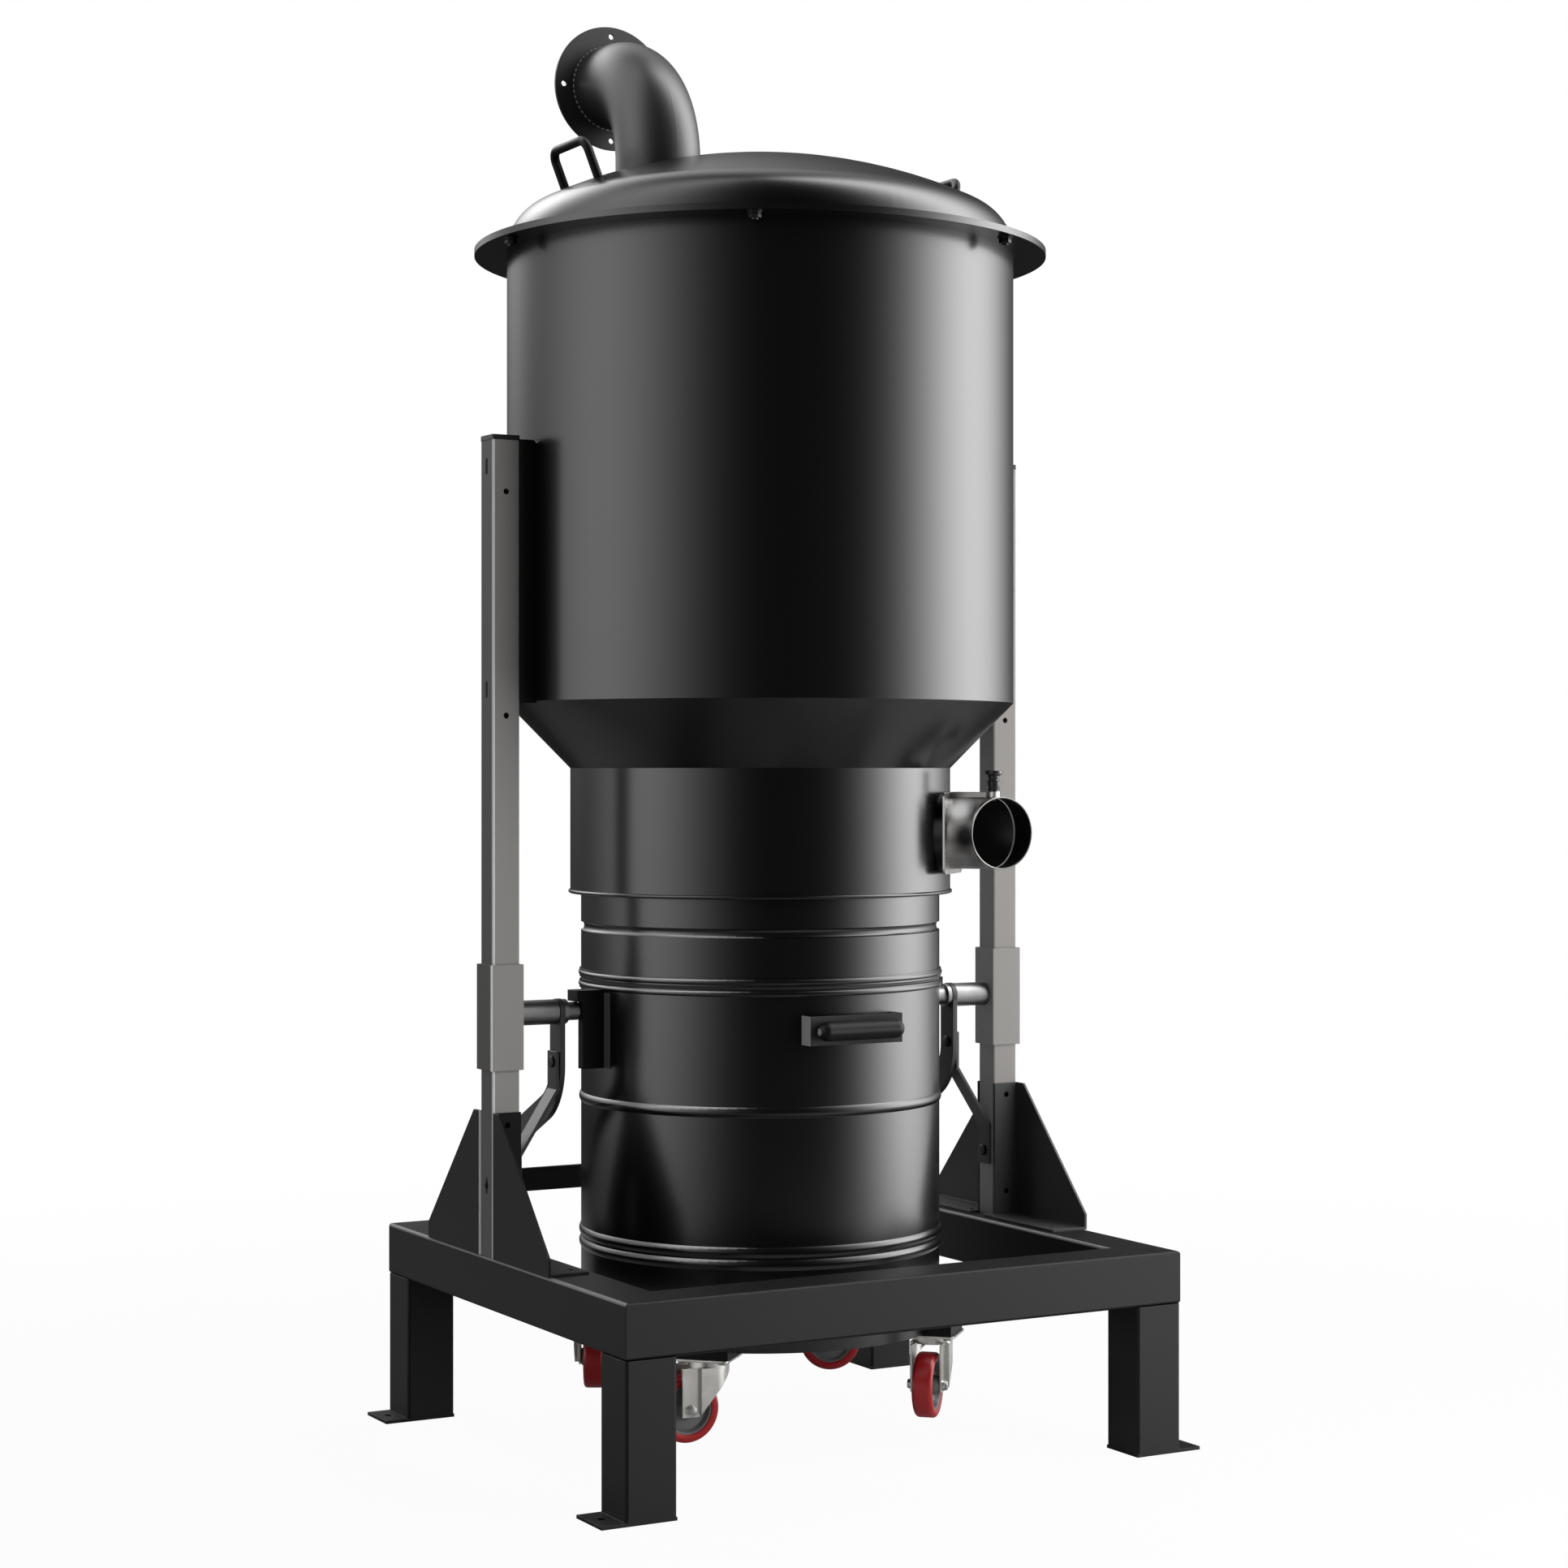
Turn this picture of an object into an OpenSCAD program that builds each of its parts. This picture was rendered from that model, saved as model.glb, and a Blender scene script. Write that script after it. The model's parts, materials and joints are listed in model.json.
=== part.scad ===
// Filter separator: an upright filter drum on a tube stand, with a dust bin
// that a rear lever lowers onto its casters.
// Left and right are as seen from the front, which faces -Y.

/* [Stand] */
// Reach of the stand in front of the drum's axis
stand_front = 471; // [440:1:520]
// Reach of the stand behind the drum's axis
stand_rear = 389; // [360:1:430]
// Side of the square tube of the beams and legs
beam_side = 80; // [70:1:90]
// Wall of the beams and legs
beam_wall = 4; // [2:0.5:6]
// Outer corner radius of the beams and legs
beam_corner = 5; // [3:0.5:8]
// Length of a leg from its foot plate to the beam
leg_h = 222; // [190:1:260]
// Thickness of a foot plate
foot_t = 5; // [4:0.5:10]
// Reach of a foot plate beyond the outer face of its leg
foot_reach = 37; // [30:1:60]
// Distance of the floor bolt hole from the outer face of its leg
foot_hole_x = 17; // [14:0.5:20]
// Diameter of the floor bolt hole in a foot plate
foot_hole_d = 12; // [8:0.5:16]

/* [Posts] */
// Side of a square post
post_side = 45; // [42:0.5:48]
// Wall of a post
post_wall = 3; // [2:0.5:5]
// Outer corner radius of a post
post_corner = 4; // [2:0.5:6]
// Height of a post's end cap
post_cap_h = 7.6; // [4:0.2:12]
// Overhang of a cap around its post
post_cap_lip = 0.6; // [0.2:0.1:1.5]
// Diameter of the screw holes in a post's front face
post_hole_d = 9; // [6:0.5:12]
// Width of the access slots in a post's outer face
slot_w = 8; // [6:0.5:12]
// Length of the access slots
slot_h = 26; // [20:1:40]
// Distance of the upper slots and channel bolts from the channel's upper end
channel_top_bolt = 41; // [30:0.5:50]
// Distance of the lower slots and channel bolts from the channel's lower end
channel_low_bolt = 20; // [16:0.5:40]
// Distance of the posts' upper screw holes from the channel's upper end
channel_top_screw = 80; // [70:1:110]
// Distance of the posts' lower screw holes below the channel's lower end
channel_low_screw = 19.5; // [12:0.5:40]
// Length of the channels that carry the drum
channel_h = 398; // [300:1:420]
// Distance between the drum and a post, which the channel bridges
channel_d = 27; // [22:1:32]
// Width of a channel across its flanges
channel_w = 44; // [38:1:46]
// Wall of a channel
channel_wall = 4; // [2:0.5:6]
// Drop of a channel's lower end below the drum's lower rim
channel_drop = 3.5; // [2:0.5:20]

/* [Gussets] */
// Height of a gusset above the beam
gusset_h = 218; // [180:1:230]
// Reach of a gusset from the post along the beam
gusset_reach = 200; // [150:1:220]
// Width of a gusset's upright plate past its web, at the top
gusset_top = 23.5; // [15:0.5:40]
// Height of a gusset's far end above the beam
gusset_end = 25; // [15:1:40]
// Thickness of the gusset's sheet
gusset_t = 4; // [3:0.5:6]
// Width of the gusset's foot on the beam
gusset_foot_w = 65; // [56:1:75]
// Reach of the gusset beyond the outer face of its post
gusset_proud = 1; // [0:0.5:3]
// Heights of the gusset's two screw holes above the beam
gusset_low_hole = 40; // [30:1:60]
gusset_high_hole = 199; // [160:1:205]
// Distance of the gusset's foot holes from the stand's side
gusset_foot_hole_x = 49; // [45:1:54]
// Distances of the two foot holes from the post
gusset_near_hole = 16; // [10:1:30]
gusset_far_hole = 172; // [120:1:185]

/* [Housing] */
// Outer radius of the filter drum
drum_r = 400; // [390:1:410]
// Height of the filter drum
drum_h = 701.5; // [650:0.5:750]
// Height of the cone under the drum
cone_h = 102; // [80:1:140]
// Reach of the inlet chamber beyond the neck
chamber_step = 17; // [10:0.5:22]
// Height of the inlet chamber
chamber_h = 195.5; // [190:0.5:230]
// Height of the neck
neck_h = 131; // [120:1:150]
// Height of the middle of the neck's groove above the neck's lower rim
groove_z = 79; // [60:1:95]
// Width of the groove
groove_w = 14; // [8:1:18]
// Depth of the groove
groove_depth = 5; // [3:0.5:7]
// Sheet thickness of the housing and bin
sheet = 3; // [2:0.5:3.5]
// Height of the rim beads of the neck and bin
rim_h = 12; // [8:0.5:16]
// Reach of the rim beads beyond the bin's wall
rim_reach = 4; // [2:0.5:6]
// Thickness of the gasket under the neck
gasket_t = 5; // [3:0.5:8]
// Width of the gasket
gasket_w = 14; // [8:1:20]
// Clearance between the gasket and the bin's rim
gasket_gap = 0.4; // [0.2:0.1:1]

/* [Lid] */
// Reach of the lid and drum flanges beyond the drum
lid_lip = 51; // [44:1:60]
// Thickness of each flange
flange_t = 5; // [4:0.5:8]
// Count of lid bolts
lid_bolts = 6; // [4:1:12]
// Distance of the lid's bolts from the drum's wall
lid_bolt_out = 32; // [26:1:35]
// Diameter of the lid's bolt holes
lid_hole_d = 11; // [8:0.5:13]
// Crown radius of the domed lid
crown_r = 836; // [780:1:900]
// Knuckle radius of the domed lid
knuckle_r = 73; // [60:1:90]
// Distance of each lid handle inside the drum's wall
handle_in = 86; // [75:1:110]
// Half of the distance between a handle's feet
handle_half_w = 58; // [50:1:75]
// Height of a handle
handle_h = 65; // [50:1:80]
// Rod diameter of a handle
handle_d = 14; // [8:0.5:16]
// Bend radius of a handle's rod, to its middle
handle_bend = 18; // [14:0.5:24]

/* [Outlet] */
// Outer diameter of the outlet elbow
outlet_d = 132; // [120:1:140]
// Distance of the elbow from the lid's middle
outlet_x = 182; // [170:1:190]
// Wall of the outlet elbow
outlet_wall = 3; // [2:0.5:4]
// Height of the elbow's straight foot above the lid's side
outlet_foot = 3.4; // [1:0.2:30]
// Bend radius of the elbow, to its middle
outlet_bend = 145; // [130:1:170]
// Straight length of the elbow behind its bend
outlet_straight = 20; // [15:1:60]
// Outer diameter of the outlet flange
outlet_flange_d = 197; // [190:1:205]
// Thickness of the outlet flange
outlet_flange_t = 4; // [3:0.5:8]
// Bolt circle diameter of the outlet flange
outlet_pcd = 167; // [162:1:172]
// Diameter of the outlet flange's bolt holes
outlet_hole_d = 9; // [6:0.5:11]

/* [Inlet] */
// Outer diameter of the inlet pipe
inlet_d = 112; // [100:1:116]
// Wall of the inlet pipe
inlet_wall = 2; // [1.5:0.5:3]
// Turn of the inlet pipe at its mitre
inlet_turn = 45; // [30:1:50]
// Length of the inlet pipe's middle line from its square flange to the mitre
inlet_run = 66.6; // [56:0.2:80]
// Height of the inlet's middle above the chamber's lower rim
inlet_rise = 95; // [85:1:105]
// Width of the square flange's edge beside the inlet pipe
inlet_flange_edge = 7.5; // [5:0.5:10]
// Corner radius of the square flange
inlet_flange_corner = 9; // [3:1:12]
// Thickness of the square flange
inlet_flange_t = 3; // [2:0.5:5]
// Distance of the square flange from the chamber's wall
inlet_flange_out = 9.5; // [6:0.5:20]
// Wall of the collar behind the square flange
inlet_collar_wall = 5; // [3:0.5:5]
// Width of the rail on the pipe, between its square flange and the plunger
rail_w = 20; // [12:1:24]
// Diameter of the plunger's seat
plunger_d = 18; // [14:0.5:22]
// Height of the plunger's seat
plunger_seat_h = 8; // [6:0.5:12]
// Diameter of the plunger's pin
plunger_pin_d = 7; // [5:0.5:9]
// Length of the pin's nose inside the pipe
plunger_nose = 5; // [3:0.5:5.5]
// Diameter of the plunger's knob
knob_d = 27; // [22:1:32]
// Height of the plunger's knob
knob_h = 32; // [26:1:40]

/* [Bin] */
// Outer radius of the bin's wall
bin_r = 283.5; // [280:0.5:286]
// Height of the bin's floor above its lower edge
bin_floor_z = 131; // [110:1:150]
// Thickness of the bin's floor
bin_floor_t = 4; // [3:0.5:8]
// Drop of the middle bead below the bin's rim
bead_drop = 183; // [160:1:220]
// Width of the rolled beads
bead_w = 16; // [12:1:17]
// Height of the rolled beads
bead_h = 3; // [2:0.5:4]
// Distance between the two lower beads
bead_pitch = 19; // [18:0.5:24]
// Half of the width of the bin handle's bracket
grip_bracket_half = 80; // [70:1:90]
// Height of the handle's bracket
grip_bracket_h = 44; // [36:1:50]
// Reach of the bracket beyond the bin's wall
grip_bracket_out = 15.5; // [11:0.5:22]
// Diameter of the handle's grip
grip_d = 29; // [24:1:34]
// Half length of the handle's grip
grip_half = 73.5; // [60:0.5:76]
// Drop of the handle's middle below the bin's rim
grip_drop = 60; // [50:1:90]

/* [Lift] */
// Distance of the link's lower pivot above the beams
link_foot = 107; // [95:1:140]
// Distance between a link's pivots
link_len = 182; // [175:1:200]
// Distance between a lever's pivot and its link pivot
crank_len = 76; // [70:1:80]
// Angle that raises the lever to its upper stop
lever_angle = 52.5; // [45:0.5:55]
// Distance of the bin's rim above the lever's pivot
rim_over_pivot = 40; // [36:1:50]
// Outer side of a lift sleeve
sleeve_side = 55; // [52:0.5:58]
// Length of a lift sleeve
sleeve_h = 159; // [120:1:165]
// Clearance between a sleeve and its post, on each side
sleeve_gap = 0.4; // [0.3:0.1:0.8]
// Height of a sleeve's top above its pivot
sleeve_up = 75.5; // [60:0.5:90]
// Diameter of the pivot tube
pivot_d = 38; // [34:0.5:42]
// Distance of the pin's tip from the bin's wall
pin_off_bin = 38.5; // [34:0.5:42]
// Diameter of the pivot pin
pin_d = 28; // [24:0.5:30]
// Radial clearance of the lever on its pin
pin_gap = 0.05; // [0.03:0.01:0.1]
// Length of the pin beyond its collar
pin_reach = 20; // [16:0.5:22]
// Width of the collar that keeps the lever on its pin
collar_w = 7.5; // [5:0.5:9]
// Clearance on each side of a lever arm
arm_gap = 0.5; // [0.3:0.1:1]
// Thickness of a lever arm
arm_t = 8; // [6:0.5:10]
// Width of a lever arm
arm_w = 38; // [34:1:40]
// Diameter of a lever arm's eye
arm_eye_d = 40; // [38:0.5:46]
// Straight length of a lever arm below its pivot
arm_drop = 82; // [78:1:95]
// Bend radius of a lever arm, to its middle
arm_bend = 76; // [60:1:90]
// Bend angle of a lever arm
arm_turn = 64; // [60:0.5:66]
// Distance of the lever's crossbar behind the bin's wall
bar_out = 88.5; // [76:0.5:94]
// Rise of the crossbar above the middle of the arms' ends
bar_rise = 4; // [0:0.5:6]
// Thickness of the lever's crossbar
bar_t = 8; // [6:0.5:10]
// Width of a link
link_w = 32; // [28:1:34]
// Thickness of a link
link_t = 5; // [4:0.5:8]
// Diameter of the bolt holes in the links and levers
link_hole_d = 12; // [10:0.5:14]
// Length of a link's upper straight part below its pivot
link_top_h = 43; // [30:1:50]
// Length of a link's lower straight part above its pivot
link_low_h = 42; // [30:1:50]
// Clearance between a link and its post
link_gap = 1; // [0.6:0.1:2]
// Thickness of the sheet of the bin's side brackets
hook_t = 3; // [2:0.5:4]
// Height of the bin's side brackets
hook_h = 120; // [90:1:140]
// Thickness of the block that hangs on the pin
hook_block_h = 17; // [12:1:17.5]
// Clearance between a side bracket and the bin's rim
hook_gap = 0.5; // [0.2:0.1:1]

/* [Casters] */
// Distance of a caster's swivel from the end of its cross arm
caster_inset = 38; // [32:1:44]
// Height of a caster, from its plate to the floor
caster_h = 125; // [120:1:140]
// Diameter of a caster's wheel
wheel_d = 100; // [90:1:104]
// Width of a caster's tyre
wheel_w = 32; // [26:1:34]
// Width of a caster's hub
hub_w = 42; // [38:1:44]
// Diameter of a caster's axle
axle_d = 10; // [8:0.5:12]
// Distance of the axle behind the swivel
trail = 39; // [34:1:42]
// Thickness of a fork's legs
fork_t = 3; // [2.5:0.5:4]
// Side of a caster's plate
caster_plate = 84; // [76:1:90]
// Thickness of a caster's plate
caster_plate_t = 3; // [3:0.5:5]
// Width of the cross arms that carry the casters
cross_w = 82; // [70:1:90]
// Height of the cross arms
cross_h = 25; // [20:1:30]
// Reach of the cross arms beyond the bin's wall
cross_out = 34.5; // [28:0.5:42]
// Height of the bin's lower edge above the caster plates
skirt_up = 5; // [3:1:12]
// Direction in which the front left caster trails
front_left_heading = 176; // [0:1:360]
// Direction in which the front right caster trails
front_right_heading = 226; // [0:1:360]
// Direction in which the rear left caster trails
rear_left_heading = 61; // [0:1:360]
// Direction in which the rear right caster trails
rear_right_heading = 331; // [0:1:360]

/* [Hidden] */
$fn = 96;

// Small overlap that keeps cuts clean
eps = 0.5;
// Length of the blocks that trim whole sides off
block = 400;

// Radii that follow from the drum and the bin
neck_r = bin_r;
chamber_r = neck_r + chamber_step;
lid_r = drum_r + lid_lip;
lid_bolt_r = drum_r + lid_bolt_out;
handle_x = drum_r - handle_in;
// Half of the stand's width over its beams
stand_half_w = drum_r + channel_d + post_side;
// Place of the drum's axis, with the whole machine centred on the origin
axis_y = (stand_front - lid_r) / 2;

// Heights of the stand
beam_z = foot_t + leg_h;
beam_top = beam_z + beam_side;
// Lift linkage: the lever's crank and the link are in line at rest
link_foot_z = beam_top + link_foot;
link_top_z = link_foot_z + link_len;
pivot_z = link_top_z + crank_len;
link_tilt = asin(crank_len * sin(lever_angle) / link_len);
lift_travel = crank_len * (1 - cos(lever_angle)) + link_len * (1 - cos(link_tilt));
// Heights of the bin and its casters
bin_rim_z = pivot_z + rim_over_pivot;
caster_top_z = lift_travel + caster_h;
axle_z = lift_travel + wheel_d / 2;
bin_foot_z = caster_top_z + skirt_up;
// Heights of the housing
neck_z = bin_rim_z + gasket_gap + gasket_t;
chamber_z = neck_z + neck_h;
cone_z = chamber_z + chamber_h;
drum_z = cone_z + cone_h;
lid_z = drum_z + drum_h;
dome_z = lid_z + 2 * flange_t;
inlet_z = chamber_z + inlet_rise;
inlet_flange_at = chamber_r + inlet_flange_out;
inlet_seam = inlet_flange_at + inlet_run;
inlet_flange_side = inlet_d + 2 * inlet_flange_edge;
inlet_collar_d = inlet_d + 2 * inlet_collar_wall;
// Channels and posts
channel_z = drum_z - channel_drop;
post_top_gap = 2;
post_top_z = channel_z + channel_h - post_top_gap;
post_out = stand_half_w;
post_mid = post_out - post_side / 2;
post_in = post_out - post_side;
// Pin, collar, lever arm, link and sleeve, from the bin outwards
pin_tip = bin_r + pin_off_bin;
collar_in = pin_tip + pin_reach;
arm_in = collar_in + collar_w + arm_gap;
arm_out = arm_in + arm_t;
link_in = arm_out + arm_gap;
link_tab = post_in - link_gap;
sleeve_in = post_mid - sleeve_side / 2;
bar_reach = bin_r + bar_out;
// Casters
cross_reach = bin_r + cross_out;
caster_at = (cross_reach - caster_inset) * cos(45);

// ---------- helpers ----------

module on_axis(z = 0) {
    translate([0, axis_y, z]) children();
}

// Copies a left-hand piece to the side given by -1 (left) or 1 (right).
module at_side(side) {
    if (side > 0) children();
    else mirror([1, 0, 0]) children();
}

// Copies a front piece to the end given by -1 (front) or 1 (rear).
module at_end(end) {
    if (end > 0) mirror([0, 1, 0]) children();
    else children();
}

module rounded_square(w, h, r) {
    square([w - 2 * r, h], center = true);
    square([w, h - 2 * r], center = true);
    for (x = [-1, 1], y = [-1, 1])
        translate([x * (w / 2 - r), y * (h / 2 - r)]) circle(r = r, $fn = 32);
}

// Section of a square tube, with an inner corner limited by its wall.
module tube_section(side, wall, corner) {
    difference() {
        rounded_square(side, side, corner);
        rounded_square(side - 2 * wall, side - 2 * wall, max(corner - wall, 1));
    }
}

// Stands a profile drawn in the Y and Z directions up, from x, t thick along X.
module side_plate(x, t) {
    translate([x, 0, 0]) rotate([90, 0, 90]) linear_extrude(t) children();
}

// Stands a profile drawn in the X and Z directions up, from y, t thick along Y.
module front_plate(y, t) {
    translate([0, y + t, 0]) rotate([90, 0, 0]) linear_extrude(t) children();
}

module rod_x(x, len, d) {
    translate([x, 0, 0]) rotate([0, 90, 0]) cylinder(h = len, d = d);
}

module rod_y(y, len, d) {
    translate([0, y, 0]) rotate([-90, 0, 0]) cylinder(h = len, d = d);
}

// Round shell between two radii.
module ring(r, wall, z, h) {
    translate([0, 0, z]) difference() {
        cylinder(h = h, r = r);
        translate([0, 0, -eps]) cylinder(h = h + 2 * eps, r = r - wall);
    }
}

// ---------- stand ----------

module beam_corner_cut() {
    // Everything on the side beam's half of the mitred corner
    translate([stand_half_w, -stand_front, beam_z - eps]) rotate([0, 0, 45])
        translate([0, -block / 2, 0]) cube([block, block, beam_side + 2 * eps]);
}

module front_beam() {
    color("#1b1b1c") on_axis() difference() {
        translate([-stand_half_w, -stand_front + beam_side / 2, beam_z + beam_side / 2])
            rotate([90, 0, 90]) linear_extrude(2 * stand_half_w)
                tube_section(beam_side, beam_wall, beam_corner);
        beam_corner_cut();
        mirror([1, 0, 0]) beam_corner_cut();
    }
}

module side_beam(side) {
    inside = beam_side - 2 * beam_wall;
    color("#1b1b1c") on_axis() at_side(side) intersection() {
        translate([post_out - beam_side / 2, stand_rear, beam_z + beam_side / 2])
            rotate([90, 0, 0]) union() {
                linear_extrude(stand_front + stand_rear)
                    tube_section(beam_side, beam_wall, beam_corner);
                linear_extrude(beam_wall) square(inside + 2 * eps, center = true);
            }
        union() {
            beam_corner_cut();
            translate([0, -stand_front + beam_side, beam_z - eps])
                cube([2 * stand_half_w, stand_front + stand_rear, beam_side + 2 * eps]);
        }
    }
}

module leg(side, end) {
    y = end < 0 ? -stand_front : stand_rear - beam_side;
    color("#1b1b1c") on_axis() at_side(side) translate([0, y + beam_side / 2, 0]) {
        translate([post_out - beam_side / 2, 0, foot_t]) linear_extrude(leg_h)
            tube_section(beam_side, beam_wall, beam_corner);
        difference() {
            translate([post_out - beam_side, -beam_side / 2, 0])
                cube([beam_side + foot_reach, beam_side, foot_t]);
            translate([post_out + foot_hole_x, 0, -eps]) cylinder(h = foot_t + 2 * eps, d = foot_hole_d);
        }
    }
}

// ---------- posts ----------

module slot(z) {
    // Upright slot through the post's outer wall only
    translate([0, 0, z]) side_plate(post_out - post_wall - eps, post_wall + 2 * eps) {
        square([slot_w, slot_h - slot_w], center = true);
        for (end = [-1, 1]) translate([0, end * (slot_h - slot_w) / 2]) circle(d = slot_w, $fn = 32);
    }
}

module front_hole(z) {
    translate([post_mid, -post_side / 2 - eps, z]) rotate([-90, 0, 0])
        cylinder(h = post_wall + 2 * eps, d = post_hole_d, $fn = 32);
}

module post(side) {
    color("#8d8a86") on_axis() at_side(side) difference() {
        translate([post_mid, 0, beam_top]) linear_extrude(post_top_z - beam_top)
            tube_section(post_side, post_wall, post_corner);
        for (z = [channel_z + channel_h - channel_top_screw, channel_z - channel_low_screw]) front_hole(z);
        for (z = [channel_z + channel_h - channel_top_bolt, channel_z + channel_low_bolt, link_foot_z])
            slot(z);
        translate([post_in - eps, 0, link_foot_z]) rod_x(0, post_wall + 2 * eps, link_hole_d);
    }
}

module post_caps() {
    side = post_side + 2 * post_cap_lip;
    color("#161616") on_axis(post_top_z) for (x = [-1, 1])
        translate([x * post_mid, 0, 0]) {
            linear_extrude(post_cap_h) rounded_square(side, side, post_corner);
            translate([0, 0, -post_cap_h]) linear_extrude(post_cap_h)
                square(post_side - 2 * post_wall - 1, center = true);
        }
}

module gusset_web() {
    // Y from the post's face outwards, Z from the beam up
    polygon([
        [0, 0], [gusset_reach, 0], [gusset_reach, gusset_end],
        [gusset_top, gusset_h], [0, gusset_h]
    ]);
}

module gusset(side, end) {
    out = post_out + gusset_proud;
    face = post_side / 2;
    color("#1b1b1c") on_axis() at_side(side) at_end(end) difference() {
        union() {
            translate([0, -face, beam_top]) mirror([0, 1, 0]) side_plate(out - gusset_t, gusset_t) gusset_web();
            translate([post_in, -face - gusset_t, beam_top]) cube([out - post_in, gusset_t, gusset_h]);
            translate([out - gusset_foot_w, -face - gusset_reach, beam_top])
                cube([gusset_foot_w, gusset_reach, gusset_t]);
        }
        for (z = [gusset_low_hole, gusset_high_hole])
            translate([post_mid, -face - gusset_t - eps, beam_top + z]) rotate([-90, 0, 0])
                cylinder(h = gusset_t + 2 * eps, d = post_hole_d, $fn = 32);
        for (y = [gusset_near_hole, gusset_far_hole])
            translate([out - gusset_foot_hole_x, -face - y, beam_top - eps])
                cylinder(h = gusset_t + 2 * eps, d = post_hole_d, $fn = 32);
    }
}

module channel(side) {
    inner = channel_w - 2 * channel_wall;
    chamfer = 6;
    cap_half = post_side / 2 + post_cap_lip + 0.2;
    color("#161616") on_axis() at_side(side) difference() {
        translate([drum_r - 4, -channel_w / 2, channel_z])
            cube([post_in - drum_r + 4, channel_w, channel_h]);
        translate([0, -inner / 2, channel_z - eps])
            cube([post_in - channel_wall, inner, channel_h + 2 * eps]);
        translate([0, 0, drum_z]) cylinder(h = drum_h, r = drum_r);
        translate([0, 0, channel_z - eps]) cylinder(h = channel_drop + 2 * eps, r = drum_r);
        translate([drum_r, 0, channel_z + channel_h]) rotate([0, 45, 0])
            cube([chamfer, channel_w + 2 * eps, chamfer], center = true);
        translate([post_mid - cap_half, -cap_half, post_top_z]) cube(2 * cap_half);
        for (z = [channel_low_bolt, channel_h - channel_top_bolt])
            translate([0, 0, channel_z + z])
                rod_x(post_in - channel_wall - eps, channel_wall + 2 * eps, link_hole_d);
    }
}

// ---------- housing ----------

module filter_drum() {
    color("#2c2c2e") on_axis() ring(drum_r, sheet, drum_z, drum_h);
}

// Bolted ring of the drum's top and of the lid's edge, the lower or the upper one.
module bolted_ring(z) {
    color("#2c2c2e") on_axis() difference() {
        ring(lid_r, lid_r - drum_r + sheet, z, flange_t);
        for (i = [0 : lid_bolts - 1]) rotate([0, 0, i * 360 / lid_bolts])
            translate([lid_bolt_r, 0, z - eps]) cylinder(h = flange_t + 2 * eps, d = lid_hole_d, $fn = 32);
    }
}

module hopper_cone() {
    color("#2c2c2e") on_axis() rotate_extrude() polygon([
        [chamber_r, cone_z], [drum_r, drum_z],
        [drum_r - sheet, drum_z], [chamber_r - sheet, cone_z]
    ]);
}

module inlet_chamber() {
    bead = 3;
    color("#2c2c2e") on_axis() difference() {
        rotate_extrude() {
            translate([chamber_r - sheet, chamber_z]) square([sheet, chamber_h]);
            translate([neck_r - sheet, chamber_z]) square([chamber_r - neck_r + sheet, sheet]);
            translate([chamber_r, chamber_z + bead - 0.5]) circle(r = bead, $fn = 32);
        }
        at_inlet() rod_x(0, 2 * chamber_r, inlet_d - 2 * inlet_wall);
    }
}

module bead_section(r, z, w, h) {
    // Rolled bead: a shallow arc w wide and h high on a wall of outer radius r
    arc = (w * w / 4 + h * h) / (2 * h);
    intersection() {
        translate([r + h - arc, z]) circle(r = arc);
        translate([r - sheet, z - w / 2]) square([sheet + h, w]);
    }
}

module neck_ring() {
    color("#2c2c2e") on_axis() rotate_extrude() {
        difference() {
            union() {
                translate([neck_r - sheet, neck_z]) square([sheet, neck_h]);
                translate([neck_r - groove_depth - sheet, neck_z + groove_z - groove_w / 2 - sheet])
                    square([groove_depth + sheet, groove_w + 2 * sheet]);
            }
            translate([neck_r, neck_z + groove_z]) scale([groove_depth / groove_w * 2, 1])
                circle(d = groove_w);
        }
        translate([bin_r - sheet, neck_z]) square([rim_reach + sheet - 1.5, rim_h]);
        translate([bin_r + rim_reach - rim_h / 2, neck_z + rim_h / 2]) circle(d = rim_h, $fn = 48);
    }
}

module neck_gasket() {
    color("#0c0c0c") on_axis() ring(bin_r, gasket_w, neck_z - gasket_t, gasket_t);
}

// ---------- lid ----------

// Torispherical dish section of the given wall offset, filled down to z = 0.
module dish_section(offset) {
    knuckle_x = drum_r - knuckle_r;
    crown_z = -sqrt(pow(crown_r - knuckle_r, 2) - pow(knuckle_x, 2));
    tangent = atan2(knuckle_x, -crown_z);
    far = 2 * crown_r;
    intersection() {
        union() {
            intersection() {
                translate([0, crown_z]) circle(r = crown_r - offset, $fn = 256);
                translate([0, crown_z]) polygon([[0, 0], [far * sin(tangent), far * cos(tangent)], [0, far]]);
            }
            translate([knuckle_x, 0]) circle(r = knuckle_r - offset);
            square([knuckle_x, knuckle_r / 2]);
        }
        square([drum_r, crown_r]);
    }
}

function crown_height() = crown_r - sqrt(pow(crown_r - knuckle_r, 2) - pow(drum_r - knuckle_r, 2));

// Height of the dome's outer face at a distance from the axis, above its base
function dome_height(r) = crown_height() - crown_r + sqrt(pow(crown_r, 2) - r * r);

module lid_dome() {
    color("#2c2c2e") on_axis(dome_z) difference() {
        rotate_extrude() difference() {
            dish_section(0);
            dish_section(sheet);
            translate([0, -1]) square([drum_r - knuckle_r, knuckle_r / 2]);
        }
        translate([-outlet_x, 0, 0]) cylinder(h = 2 * crown_height(), d = outlet_d - 2 * outlet_wall);
    }
}

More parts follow.
